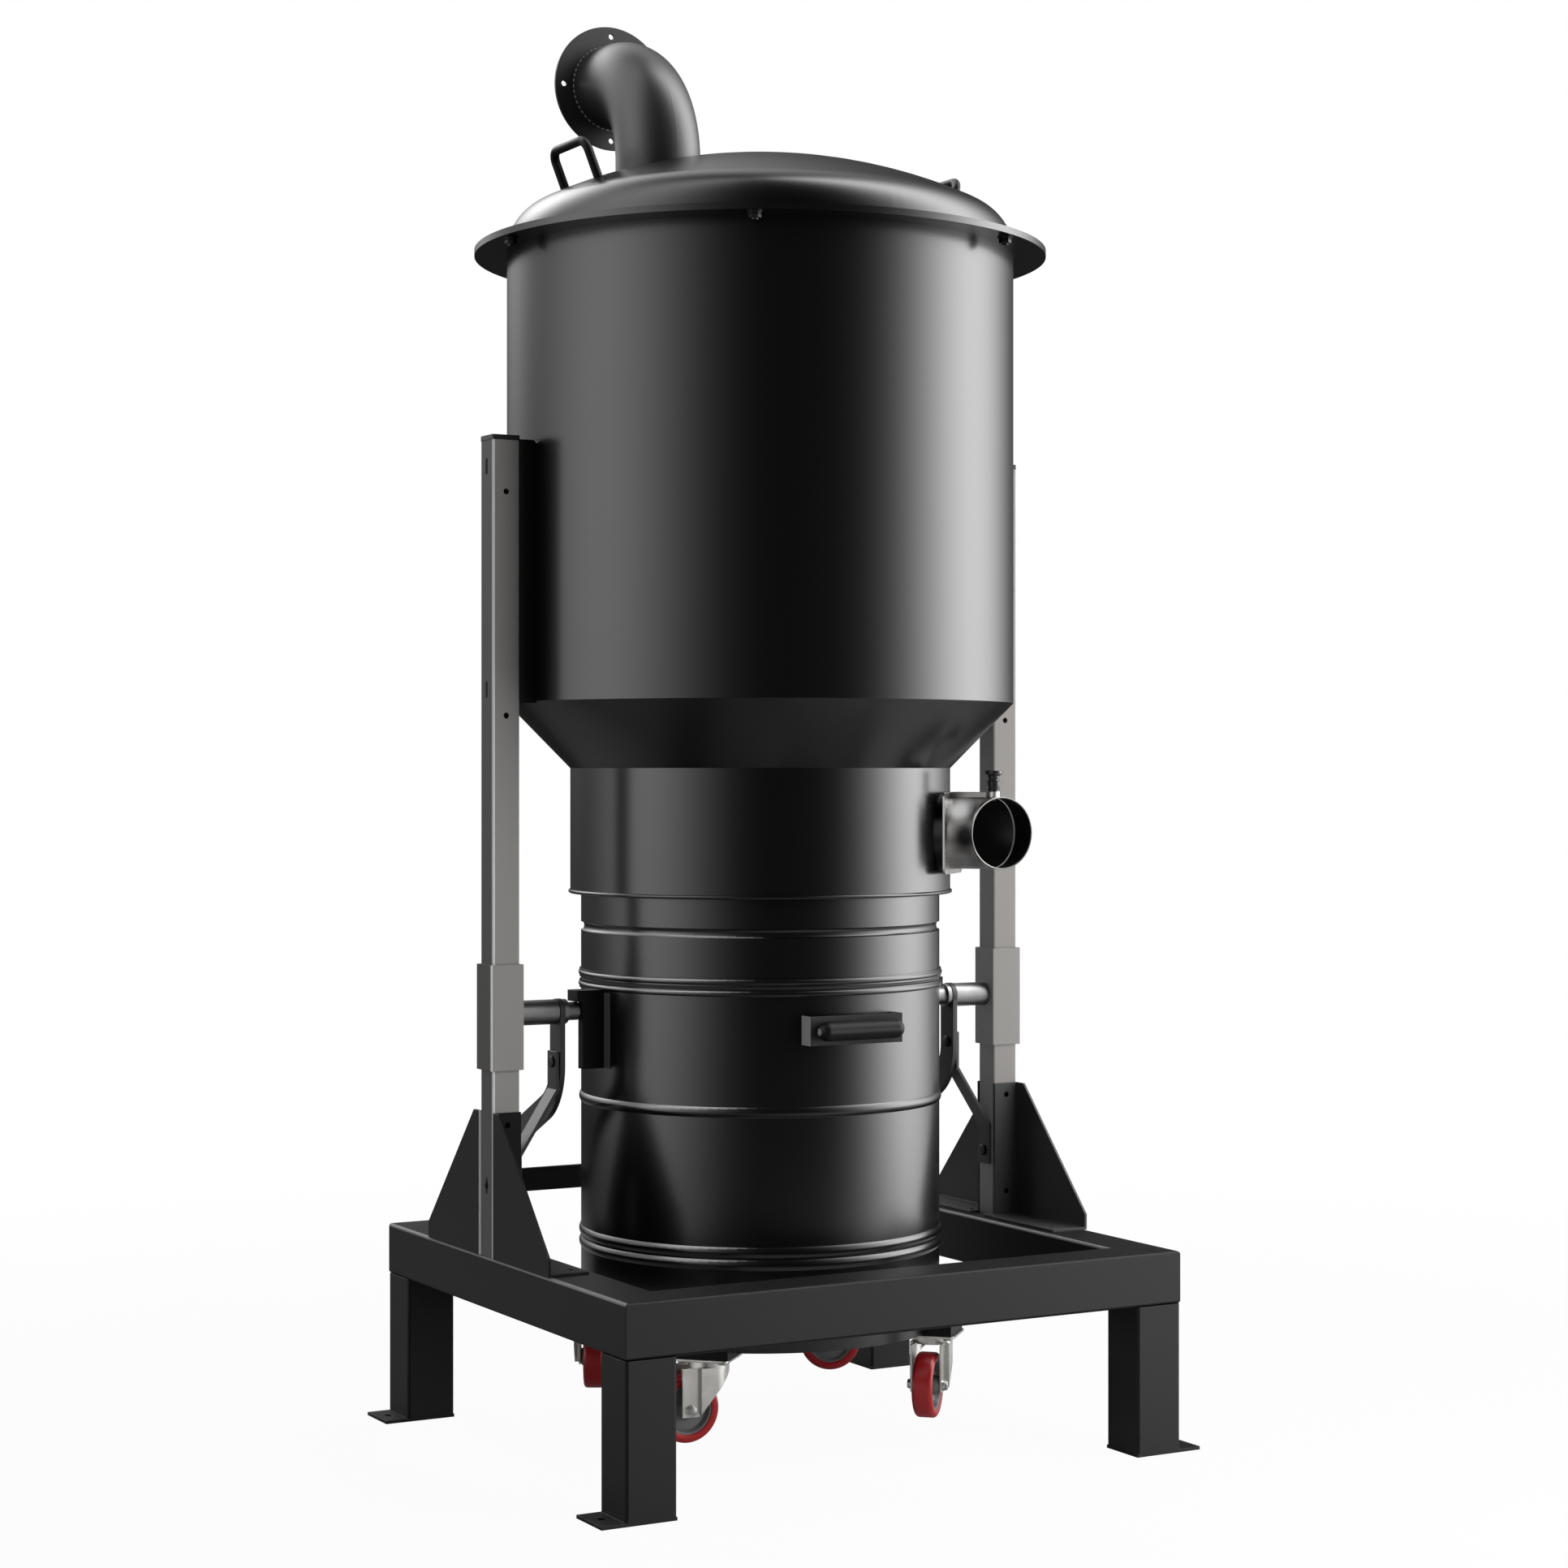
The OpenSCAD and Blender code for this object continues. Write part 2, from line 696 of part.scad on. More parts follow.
module lid_handle(side) {
    lean = asin(handle_x / crown_r);
    foot_z = dome_height(handle_x);
    straight = handle_h - handle_bend - handle_d / 2;
    color("#1b1b1c") on_axis(dome_z) difference() {
        at_side(side) translate([handle_x, 0, foot_z]) rotate([0, lean, 0]) {
            for (y = [-1, 1]) {
                translate([0, y * handle_half_w, -handle_d]) cylinder(h = straight + handle_d, d = handle_d);
                translate([0, y * (handle_half_w - handle_bend), straight]) rotate([0, -90, 0])
                    rotate([0, 0, y > 0 ? 0 : -90]) rotate_extrude(angle = 90)
                        translate([handle_bend, 0]) circle(d = handle_d);
            }
            translate([0, 0, straight + handle_bend])
                rod_y(-handle_half_w + handle_bend, 2 * (handle_half_w - handle_bend), handle_d);
        }
        translate([0, 0, crown_height() - crown_r]) sphere(r = crown_r, $fn = 256);
    }
}

// ---------- outlet ----------

outlet_bend_z = dome_z + dome_height(outlet_x) + outlet_foot;
outlet_z = outlet_bend_z + outlet_bend;

module elbow_route(d, extra) {
    translate([-outlet_x, 0, dome_z]) {
        cylinder(h = outlet_bend_z - dome_z, d = d);
        translate([0, outlet_bend, outlet_bend_z - dome_z]) rotate([90, 0, -90])
            rotate_extrude(angle = 90) translate([outlet_bend, 0]) circle(d = d);
        translate([0, outlet_bend, outlet_z - dome_z]) rod_y(0, outlet_straight + extra, d);
    }
}

module outlet_elbow() {
    color("#2c2c2e") on_axis() difference() {
        elbow_route(outlet_d, 0);
        elbow_route(outlet_d - 2 * outlet_wall, eps);
        translate([0, 0, dome_z + crown_height() - crown_r]) sphere(r = crown_r, $fn = 256);
    }
}

module outlet_flange() {
    y = outlet_bend + outlet_straight - outlet_flange_t + 3;
    color("#2c2c2e") on_axis(outlet_z) translate([-outlet_x, y, 0]) difference() {
        rod_y(0, outlet_flange_t, outlet_flange_d);
        rod_y(-eps, outlet_flange_t + 2 * eps, outlet_d);
        for (a = [0 : 90 : 270]) rotate([0, a, 0])
            translate([outlet_pcd / 2, 0, 0]) rod_y(-eps, outlet_flange_t + 2 * eps, outlet_hole_d);
    }
}

// ---------- inlet ----------

// Frame with +X along the inlet's first stretch and its middle at the origin.
module at_inlet() {
    translate([0, 0, inlet_z]) rotate([0, 0, -45]) children();
}

module past_seam() {
    translate([inlet_seam, 0, 0]) rotate([0, 0, -inlet_turn / 2])
        translate([0, -block / 2, -block / 2]) cube([block, block, block]);
}

mouth_len = inlet_d / 2 * tan(inlet_turn / 2);

module inlet_route(d, start, extra) {
    difference() {
        rod_x(start, inlet_seam - start + inlet_d, d);
        past_seam();
    }
    intersection() {
        translate([inlet_seam, 0, 0]) rotate([0, 0, -inlet_turn])
            rod_x(-inlet_d, inlet_d + mouth_len + extra, d);
        past_seam();
    }
}

module inlet_collar() {
    color("#161616") on_axis() at_inlet() difference() {
        rod_x(chamber_r / 2, inlet_flange_at - chamber_r / 2, inlet_collar_d);
        rod_x(0, 2 * chamber_r, inlet_d);
        rotate([0, 0, 45]) translate([0, 0, -block]) cylinder(h = 2 * block, r = chamber_r);
    }
}

module inlet_flange() {
    color("#b9b9bb") on_axis() at_inlet() difference() {
        side_plate(inlet_flange_at, inlet_flange_t)
            rounded_square(inlet_flange_side, inlet_flange_side, inlet_flange_corner);
        rod_x(inlet_flange_at - eps, inlet_flange_t + 2 * eps, inlet_d);
    }
}

module plunger_bore(d) {
    on_seam() translate([0, 0, inlet_d / 2 - 3 * inlet_wall])
        cylinder(h = 4 * inlet_wall + plunger_seat_h, d = d);
}

module on_seam() {
    at_inlet() translate([inlet_seam, 0, 0]) children();
}

// Rail along the pipe's top, from the square flange to the plunger.
module pipe_rail() {
    start = inlet_flange_at + inlet_flange_t;
    low = inlet_d / 2 - 2 * inlet_wall;
    translate([start, -rail_w / 2, low])
        cube([inlet_seam - plunger_d / 2 - eps - start, rail_w, inlet_flange_side / 2 - low]);
}

module inlet_pipe() {
    color("#b9b9bb") on_axis() difference() {
        at_inlet() {
            inlet_route(inlet_d, inlet_flange_at - 2, 0);
            pipe_rail();
        }
        at_inlet() inlet_route(inlet_d - 2 * inlet_wall, inlet_flange_at - 2 - eps, eps);
        plunger_bore(plunger_pin_d + 2 * pin_gap);
    }
}

seat_top = inlet_d / 2 + plunger_seat_h;

module plunger_seat() {
    color("#c8c8cc") on_axis() difference() {
        on_seam() translate([0, 0, inlet_d / 2 - 3]) cylinder(h = plunger_seat_h + 3, d = plunger_d);
        on_seam() for (turn = [0, -inlet_turn]) rotate([0, 0, turn]) rod_x(-plunger_d, 2 * plunger_d, inlet_d);
        plunger_bore(plunger_pin_d + 2 * pin_gap);
    }
}

module plunger_knob() {
    gap = 0.4;
    stem = plunger_d / 2;
    flare = knob_d / 2;
    color("#161616") on_axis() on_seam() {
        translate([0, 0, inlet_d / 2 - inlet_wall - plunger_nose])
            cylinder(h = plunger_seat_h + inlet_wall + plunger_nose + gap + 2, d = plunger_pin_d);
        translate([0, 0, seat_top + gap]) rotate_extrude() difference() {
            union() {
                square([stem, knob_h - 3]);
                translate([0, knob_h - 9]) polygon([[0, 0], [stem - 1, 0], [flare, 4], [flare, 9], [0, 9]]);
            }
            translate([stem + 5, knob_h * 0.52]) circle(r = 6.5, $fn = 48);
        }
    }
}

// ---------- bin ----------

module bin_shell() {
    low_bead = bin_foot_z + bin_floor_z;
    color("#2c2c2e") on_axis() difference() {
        rotate_extrude() {
            translate([bin_r - sheet, bin_foot_z]) square([sheet, bin_rim_z - bin_foot_z]);
            bead_section(bin_r, bin_rim_z - bead_drop, bead_w, bead_h);
            bead_section(bin_r, low_bead, bead_w, bead_h);
            bead_section(bin_r, low_bead + bead_pitch, bead_w, bead_h);
            translate([bin_r - sheet, bin_rim_z - rim_h]) square([rim_reach + sheet - 1.5, rim_h]);
            translate([bin_r + rim_reach - rim_h / 2, bin_rim_z - rim_h / 2]) circle(d = rim_h, $fn = 48);
        }
        cross_arms(1);
        translate([0, 0, bin_foot_z]) cylinder(h = bin_rim_z, r = bin_r - sheet);
    }
}

module bin_floor() {
    color("#2c2c2e") on_axis() translate([0, 0, bin_foot_z + bin_floor_z])
        cylinder(h = bin_floor_t, r = bin_r - sheet);
}

// Two crossing arms under the bin, grown by a gap on every side.
module cross_arms(gap) {
    for (a = [45, 135]) rotate([0, 0, a])
        translate([-cross_reach - gap, -cross_w / 2 - gap, caster_top_z - gap])
            cube([2 * (cross_reach + gap), cross_w + 2 * gap, cross_h + 2 * gap]);
}

module caster_cross() {
    wall = 4;
    color("#1b1b1c") on_axis() difference() {
        cross_arms(0);
        for (a = [45, 135]) rotate([0, 0, a])
            translate([-cross_reach + wall, -cross_w / 2 + wall, caster_top_z - wall - eps])
                cube([2 * (cross_reach - wall), cross_w - 2 * wall, cross_h + eps]);
    }
}

module hook(side) {
    pin_r = pin_d / 2;
    rest = 1;
    block_z = pivot_z + pin_r + rest;
    front = pin_r + 2 + hook_t;
    outer = pin_tip - 2;
    color("#161616") on_axis() at_side(side) difference() {
        union() {
            translate([bin_r - 14, -front, block_z + hook_block_h - hook_h])
                cube([outer - bin_r + 14, hook_t, hook_h]);
            translate([outer - hook_t, -front, block_z + hook_block_h - hook_h])
                cube([hook_t, front - 2, hook_h]);
            translate([bin_r - 14, -front, block_z])
                cube([pin_tip + 8 - bin_r + 14, front + pin_r + 1, hook_block_h]);
        }
        translate([0, 0, bin_foot_z]) cylinder(h = bin_rim_z, r = bin_r);
        translate([0, 0, bin_rim_z - rim_h - hook_gap])
            cylinder(h = rim_h + 2 * hook_gap, r = bin_r + rim_reach + hook_gap);
    }
}

module bin_handle(end) {
    z = bin_rim_z - grip_drop;
    bracket_t = 4;
    grip_bracket_at = bin_r + grip_bracket_out;
    grip_seat = 1.5;
    grip_at = grip_bracket_at + grip_d / 2 - grip_seat;
    tip = grip_d / 2;
    color("#161616") on_axis(z) at_end(end) {
        difference() {
            translate([-grip_bracket_half, -grip_bracket_at, -grip_bracket_h / 2])
                cube([2 * grip_bracket_half, grip_bracket_at, grip_bracket_h]);
            translate([0, 0, -block / 2]) cylinder(h = block, r = bin_r);
            translate([-grip_bracket_half + bracket_t, -grip_bracket_at + bracket_t, -grip_bracket_h / 2 - eps])
                cube([2 * (grip_bracket_half - bracket_t), grip_bracket_at, grip_bracket_h + 2 * eps]);
        }
        translate([0, -grip_at, 0]) {
            rod_x(-grip_half + tip, 2 * (grip_half - tip), grip_d);
            for (x = [-1, 1]) translate([x * (grip_half - tip), 0, 0]) sphere(d = grip_d, $fn = 48);
        }
    }
}

// ---------- lift ----------

module sleeve(side) {
    inner = post_side + 2 * sleeve_gap;
    sleeve_low = pivot_z + sleeve_up - sleeve_h;
    color("#8d8a86") on_axis() at_side(side) translate([post_mid, 0, sleeve_low])
        linear_extrude(sleeve_h) difference() {
            rounded_square(sleeve_side, sleeve_side, 3);
            square(inner, center = true);
        }
}

module pivot(side) {
    color("#77777a") on_axis(pivot_z) at_side(side) {
        rod_x(link_in, sleeve_in - link_in, pivot_d);
        rod_x(pin_tip, link_in - pin_tip, pin_d);
        rod_x(collar_in, collar_w, pivot_d);
    }
}

arm_end = [arm_bend * (1 - cos(arm_turn)), -arm_drop - arm_bend * sin(arm_turn)];
arm_run = (bar_reach - arm_end[0]) / sin(arm_turn);

// Profile of a lever arm in Y and Z, from its pivot down and to the rear.
module arm_profile() {
    circle(d = arm_eye_d);
    translate([-arm_w / 2, -arm_drop]) square([arm_w, arm_drop]);
    intersection() {
        translate([arm_bend, -arm_drop]) difference() {
            circle(r = arm_bend + arm_w / 2);
            circle(r = arm_bend - arm_w / 2);
        }
        translate([arm_bend, -arm_drop]) polygon([
            [0, 0], [-2 * arm_bend, 0], [-2 * arm_bend, -2 * arm_bend * tan(arm_turn)],
            [-2 * arm_bend * cos(arm_turn), -2 * arm_bend * sin(arm_turn)]
        ]);
    }
    translate(arm_end) rotate(arm_turn - 90) translate([0, -arm_w / 2]) square([arm_run, arm_w]);
}

module lever_arm(side) {
    color("#1b1b1c") on_axis(pivot_z) at_side(side) difference() {
        side_plate(arm_in, arm_t) arm_profile();
        rod_x(arm_in - eps, arm_t + 2 * eps, pin_d + 2 * pin_gap);
        translate([0, 0, -crank_len]) rod_x(arm_in - eps, arm_t + 2 * eps, link_hole_d);
    }
}

module lever_crossbar() {
    bar_z = arm_end[1] - arm_run * cos(arm_turn) + bar_rise;
    color("#1b1b1c") on_axis(pivot_z) translate([-arm_in, bar_reach - bar_t, bar_z - arm_w / 2])
        cube([2 * arm_in, bar_t, arm_w]);
}

// Profile of a link in X and Z, counted from its lower pivot.
module link_section() {
    low_end = -link_w / 2 - 6;
    top_end = link_len + link_w / 2;
    top_bend = link_len - link_top_h;
    slope = atan2(link_tab - link_t - link_in, top_bend - link_low_h);
    rise = link_t * tan(slope / 2);
    polygon([
        [link_tab - link_t, low_end], [link_tab, low_end],
        [link_tab, link_low_h + rise], [link_in + link_t, top_bend + rise],
        [link_in + link_t, top_end], [link_in, top_end],
        [link_in, top_bend], [link_tab - link_t, link_low_h]
    ]);
}

module link(side) {
    color("#1b1b1c") on_axis(link_foot_z) at_side(side) difference() {
        front_plate(-link_w / 2, link_w) link_section();
        rod_x(link_in, link_tab - link_in, link_hole_d);
        translate([0, 0, link_len]) rod_x(link_in - eps, link_t + 2 * eps, link_hole_d);
    }
}

// ---------- casters ----------

race_h = 9;
race_r = 22;
swivel_gap = 1;
head_r = 31;
fork_top = caster_top_z - caster_plate_t - race_h - 0.3;
fork_plate_z = fork_top - fork_t;
// Half of the room between a fork's legs
leg_y = hub_w / 2 + 0.5;
// A leg's flat strip, which holds the axle
strip_w = 28;
strip_low = 10;

module caster_plates() {
    plate_hole = 9;
    color("#b4b2aa") on_axis() for (x = [-1, 1], y = [-1, 1])
        translate([x * caster_at, y * caster_at, caster_top_z - caster_plate_t]) {
            rotate([0, 0, 45]) difference() {
                linear_extrude(caster_plate_t) rounded_square(caster_plate, caster_plate, 8);
                for (i = [-1, 1], j = [-1, 1])
                    translate([i * (caster_plate / 2 - 11), j * (caster_plate / 2 - 11), -eps])
                        cylinder(h = caster_plate_t + 2 * eps, d = plate_hole, $fn = 32);
            }
            translate([0, 0, -race_h]) cylinder(h = race_h, r1 = race_r - 3, r2 = race_r);
        }
}

module at_caster(side, end, heading) {
    on_axis() translate([side * caster_at, end * caster_at, 0]) rotate([0, 0, heading]) children();
}

// Outline of a fork's bent sheet from above: round in front, then stepped in to the strips.
module fork_outline(inset, reach) {
    side = head_r - inset;
    circle(r = side);
    translate([0, -side]) square([trail - strip_w / 2 - inset, 2 * side]);
    translate([0, -leg_y - fork_t + inset]) square([reach, 2 * (leg_y + fork_t - inset)]);
}

module fork(side, end, heading) {
    strip_start = trail - strip_w / 2;
    strip_end = trail + strip_w / 2;
    low = axle_z - strip_low;
    ring_h = caster_top_z - caster_plate_t - swivel_gap - fork_plate_z;
    color("#b4b2aa") at_caster(side, end, heading) {
        ring(head_r, fork_t, fork_plate_z, ring_h);
        translate([0, 0, fork_plate_z]) cylinder(h = fork_t, r = head_r);
        intersection() {
            translate([0, 0, low]) linear_extrude(fork_top - low) difference() {
                fork_outline(0, strip_end);
                fork_outline(fork_t, strip_end + eps);
            }
            front_plate(-block / 2, block) polygon([
                [-head_r - eps, fork_top], [-head_r - eps, fork_plate_z],
                [strip_start, low + 4], [strip_start, low], [strip_end, low], [strip_end, fork_top]
            ]);
        }
        translate([trail, 0, axle_z]) {
            rod_y(-leg_y - fork_t - 1, 2 * (leg_y + fork_t + 1), axle_d);
            for (y = [-leg_y - fork_t - 4, leg_y + fork_t]) rod_y(y, 4, axle_d * 1.6);
        }
    }
}

module wheel(side, end, heading) {
    tyre_round = 5;
    tyre_in = wheel_d / 2 - 13;
    hub_r = 14;
    web = 12;
    color("#a3392c") at_caster(side, end, heading) translate([trail, 0, axle_z])
        rotate([-90, 0, 0]) rotate_extrude() difference() {
            union() {
                translate([tyre_in, -wheel_w / 2 + tyre_round])
                    square([wheel_d / 2 - tyre_in, wheel_w - 2 * tyre_round]);
                translate([tyre_in, -wheel_w / 2])
                    square([wheel_d / 2 - tyre_in - tyre_round, wheel_w]);
                for (z = [-1, 1]) translate([wheel_d / 2 - tyre_round, z * (wheel_w / 2 - tyre_round)])
                    circle(r = tyre_round, $fn = 32);
                translate([0, -web / 2]) square([tyre_in + eps, web]);
                translate([0, -hub_w / 2]) square([hub_r, hub_w]);
            }
            translate([0, -hub_w]) square([axle_d / 2 + pin_gap, 2 * hub_w]);
        }
}

// ---------- nodes ----------

front_beam();
side_beam(-1);  // left_beam
side_beam(1);  // right_beam
leg(-1, -1);  // front_left_leg
leg(1, -1);  // front_right_leg
leg(-1, 1);  // rear_left_leg
leg(1, 1);  // rear_right_leg
post(-1);  // left_post
post(1);  // right_post
post_caps();
gusset(-1, -1);  // front_left_gusset
gusset(1, -1);  // front_right_gusset
gusset(-1, 1);  // rear_left_gusset
gusset(1, 1);  // rear_right_gusset
channel(-1);  // left_channel
channel(1);  // right_channel
filter_drum();
bolted_ring(lid_z);  // drum_flange
hopper_cone();
inlet_chamber();
neck_ring();
neck_gasket();
bolted_ring(lid_z + flange_t);  // lid_flange
lid_dome();
lid_handle(-1);  // left_lid_handle
lid_handle(1);  // right_lid_handle
outlet_elbow();
outlet_flange();
inlet_collar();
inlet_flange();
inlet_pipe();
plunger_seat();
plunger_knob();
sleeve(-1);  // left_sleeve
sleeve(1);  // right_sleeve
pivot(-1);  // left_pivot
pivot(1);  // right_pivot
bin_shell();
bin_floor();
caster_cross();
caster_plates();
hook(-1);  // left_hook
hook(1);  // right_hook
bin_handle(-1);  // front_bin_handle
bin_handle(1);  // rear_bin_handle
lever_arm(-1);  // left_lever_arm
lever_arm(1);  // right_lever_arm
lever_crossbar();
link(-1);  // left_link
link(1);  // right_link
fork(-1, -1, front_left_heading);  // front_left_fork
fork(1, -1, front_right_heading);  // front_right_fork
fork(-1, 1, rear_left_heading);  // rear_left_fork
fork(1, 1, rear_right_heading);  // rear_right_fork
wheel(-1, -1, front_left_heading);  // front_left_wheel
wheel(1, -1, front_right_heading);  // front_right_wheel
wheel(-1, 1, rear_left_heading);  // rear_left_wheel
wheel(1, 1, rear_right_heading);  // rear_right_wheel
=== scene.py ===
"""Filter separator: materials, fasteners, casters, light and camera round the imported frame."""
import itertools
import json
import math

import bmesh
import bpy
from mathutils import Matrix, Vector


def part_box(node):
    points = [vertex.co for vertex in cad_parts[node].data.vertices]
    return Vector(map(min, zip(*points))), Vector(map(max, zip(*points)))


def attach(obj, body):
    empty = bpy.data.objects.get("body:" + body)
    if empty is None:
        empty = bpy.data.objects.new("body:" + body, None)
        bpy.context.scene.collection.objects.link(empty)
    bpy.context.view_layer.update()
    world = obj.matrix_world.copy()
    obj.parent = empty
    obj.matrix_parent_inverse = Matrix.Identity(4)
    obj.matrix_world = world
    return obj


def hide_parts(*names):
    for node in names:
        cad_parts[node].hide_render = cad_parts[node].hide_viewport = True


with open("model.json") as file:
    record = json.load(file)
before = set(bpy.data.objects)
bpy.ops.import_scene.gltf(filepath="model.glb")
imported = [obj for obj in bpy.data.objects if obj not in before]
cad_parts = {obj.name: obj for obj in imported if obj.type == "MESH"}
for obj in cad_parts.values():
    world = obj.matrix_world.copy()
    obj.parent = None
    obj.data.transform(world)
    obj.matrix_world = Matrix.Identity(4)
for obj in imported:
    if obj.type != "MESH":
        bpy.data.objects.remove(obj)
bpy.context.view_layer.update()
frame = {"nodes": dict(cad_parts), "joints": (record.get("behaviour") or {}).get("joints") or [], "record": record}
nodes = frame["nodes"]

MM = 0.001
UP = Vector((0, 0, 1))
SIDES = ((-1, "left"), (1, "right"))

# ---------- places worked out from the frame ----------


def low(node):
    return Vector(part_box(node)[0])


def high(node):
    return Vector(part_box(node)[1])


def middle(node):
    return (low(node) + high(node)) / 2


drum_axis = middle("filter_drum")


# ---------- scene tools ----------


def add_to_scene(name, data):
    thing = bpy.data.objects.new(name, data)
    bpy.context.scene.collection.objects.link(thing)
    return thing


def new_mesh(name, work):
    """Turns a finished bmesh into a mesh."""
    mesh = bpy.data.meshes.new(name)
    work.to_mesh(mesh)
    work.free()
    return mesh


# ---------- camera ----------

CAMERA_AT = Vector((-2.3363, -4.2094, 1.0385))
CAMERA_TURN = math.radians(-29.42)
CAMERA_LENS = 69.87
CAMERA_SENSOR = 36.0
HORIZON_SHIFT = -0.0079


def make_camera():
    data = bpy.data.cameras.new("studio_camera")
    data.lens = CAMERA_LENS
    data.sensor_width = CAMERA_SENSOR
    data.shift_y = HORIZON_SHIFT
    camera = add_to_scene("studio_camera", data)
    camera.location = CAMERA_AT
    camera.rotation_euler = (math.radians(90), 0, CAMERA_TURN)
    bpy.context.scene.camera = camera


# ---------- node tools ----------

FLOAT = "NodeSocketFloat"
COLOUR = "NodeSocketColor"
# Sockets of a Mix node that mixes colours: factor, the two colours, and the result.
MIX_INPUTS = (0, 6, 7)
MIX_RESULT = 2


def grey(value):
    return (value, value, value, 1)


def wire(tree, socket, wanted):
    """Sets an input to a constant, or links another node's output to it."""
    if isinstance(wanted, (int, float, tuple, Vector)):
        socket.default_value = wanted
    else:
        tree.links.new(wanted, socket)


def add_math(tree, operation, *values):
    node = tree.nodes.new("ShaderNodeMath")
    node.operation = operation
    for socket, wanted in zip(node.inputs, values):
        wire(tree, socket, wanted)
    return node.outputs[0]


def add_vector_math(tree, operation, *values):
    node = tree.nodes.new("ShaderNodeVectorMath")
    node.operation = operation
    for socket, wanted in zip(node.inputs, values):
        wire(tree, socket, wanted)
    return node.outputs["Value" if operation in ("DOT_PRODUCT", "LENGTH") else "Vector"]


def add_dot(tree, vector, direction):
    return add_vector_math(tree, "DOT_PRODUCT", vector, direction)


def add_length(tree, first, second):
    """Length of the flat vector with the two given parts."""
    total = add_math(tree, "ADD", add_math(tree, "MULTIPLY", first, first),
                     add_math(tree, "MULTIPLY", second, second))
    return add_math(tree, "SQRT", total)


def add_range(tree, value, from_low, from_high, to_low=0.0, to_high=1.0, blend="LINEAR"):
    node = tree.nodes.new("ShaderNodeMapRange")
    node.interpolation_type = blend
    for label, wanted in (("Value", value), ("From Min", from_low), ("From Max", from_high),
                          ("To Min", to_low), ("To Max", to_high)):
        wire(tree, node.inputs[label], wanted)
    return node.outputs["Result"]


def add_mix(tree, factor, first, second, blend="MIX"):
    mix = tree.nodes.new("ShaderNodeMix")
    mix.data_type = "RGBA"
    mix.blend_type = blend
    for index, wanted in zip(MIX_INPUTS, (factor, first, second)):
        wire(tree, mix.inputs[index], wanted)
    return mix.outputs[MIX_RESULT]


def add_noise(tree, vector, scale, detail, roughness=0.5):
    noise = tree.nodes.new("ShaderNodeTexNoise")
    for label, wanted in (("Vector", vector), ("Scale", scale), ("Detail", detail),
                          ("Roughness", roughness)):
        wire(tree, noise.inputs[label], wanted)
    return noise.outputs["Fac"]


def object_coords(tree):
    return tree.nodes.new("ShaderNodeTexCoord").outputs["Object"]


def offset_from(tree, point):
    return add_vector_math(tree, "SUBTRACT", object_coords(tree), point)


def direct_rays(tree):
    """Outputs of the light path, and a mask of camera rays and of rays through clear faces."""
    paths = tree.nodes.new("ShaderNodeLightPath").outputs
    return paths, add_math(tree, "MAXIMUM", paths["Is Camera Ray"], paths["Is Transmission Ray"])


def mix_shaders(tree, factor, first, second):
    mix = tree.nodes.new("ShaderNodeMixShader")
    for socket, wanted in zip(mix.inputs, (factor, first, second)):
        tree.links.new(wanted, socket)
    return mix.outputs[0]


# ---------- shared effects ----------

FINISH_OUTPUTS = (("Colour", COLOUR), ("Roughness", FLOAT), ("Height", FLOAT))
CLOUD_SCALE = 3.0
STREAK_SCALE = 60.0
STREAK_STRETCH = (1, 1, 14)             # streaks lie flat: they are this much finer along Z
PATCH_BAND = (0.35, 0.7)                # noise levels between which light metal turns dark


def new_group(name, inputs, outputs):
    group = bpy.data.node_groups.new(name, "ShaderNodeTree")
    for label, default in inputs:
        kind = COLOUR if isinstance(default, tuple) else FLOAT
        socket = group.interface.new_socket(name=label, in_out="INPUT", socket_type=kind)
        socket.default_value = default
    for label, kind in outputs:
        group.interface.new_socket(name=label, in_out="OUTPUT", socket_type=kind)
    inner = group.nodes.new("NodeGroupInput").outputs
    outer = group.nodes.new("NodeGroupOutput").inputs
    return group, inner, outer


def give(group, outer, results):
    for label, result in results.items():
        group.links.new(result, outer[label])
    return group


def powder_coat_group():
    """Fine orange peel and soft clouding of a powder coat."""
    group, inner, outer = new_group(
        "powder_coat",
        [("Colour", grey(0.02)), ("Clouding", 0.15), ("Roughness", 0.4), ("Spread", 0.04),
         ("Grain", 900.0)],
        FINISH_OUTPUTS)
    coords = object_coords(group)
    cloud = add_noise(group, coords, CLOUD_SCALE, 2.0)
    grain = add_noise(group, coords, inner["Grain"], 2.0)
    return give(group, outer, {
        "Colour": add_mix(group, inner["Clouding"], inner["Colour"], cloud, "MULTIPLY"),
        "Roughness": add_math(group, "MULTIPLY_ADD", grain, inner["Spread"], inner["Roughness"]),
        "Height": grain})


def bare_metal_group():
    """Fine streaks and heat-stained patches of bare or plated metal."""
    group, inner, outer = new_group(
        "bare_metal",
        [("Light", grey(0.7)), ("Dark", grey(0.4)), ("Patch", 12.0), ("Roughness", 0.25),
         ("Spread", 0.15)],
        FINISH_OUTPUTS)
    coords = object_coords(group)
    patch = add_noise(group, coords, inner["Patch"], 4.0, 0.6)
    stretch = group.nodes.new("ShaderNodeMapping")
    stretch.inputs["Scale"].default_value = STREAK_STRETCH
    group.links.new(coords, stretch.inputs["Vector"])
    streak = add_noise(group, stretch.outputs[0], STREAK_SCALE, 3.0)
    stain = add_range(group, patch, *PATCH_BAND)
    return give(group, outer, {
        "Colour": add_mix(group, stain, inner["Light"], inner["Dark"]),
        "Roughness": add_math(group, "MULTIPLY_ADD", streak, inner["Spread"], inner["Roughness"]),
        "Height": streak})


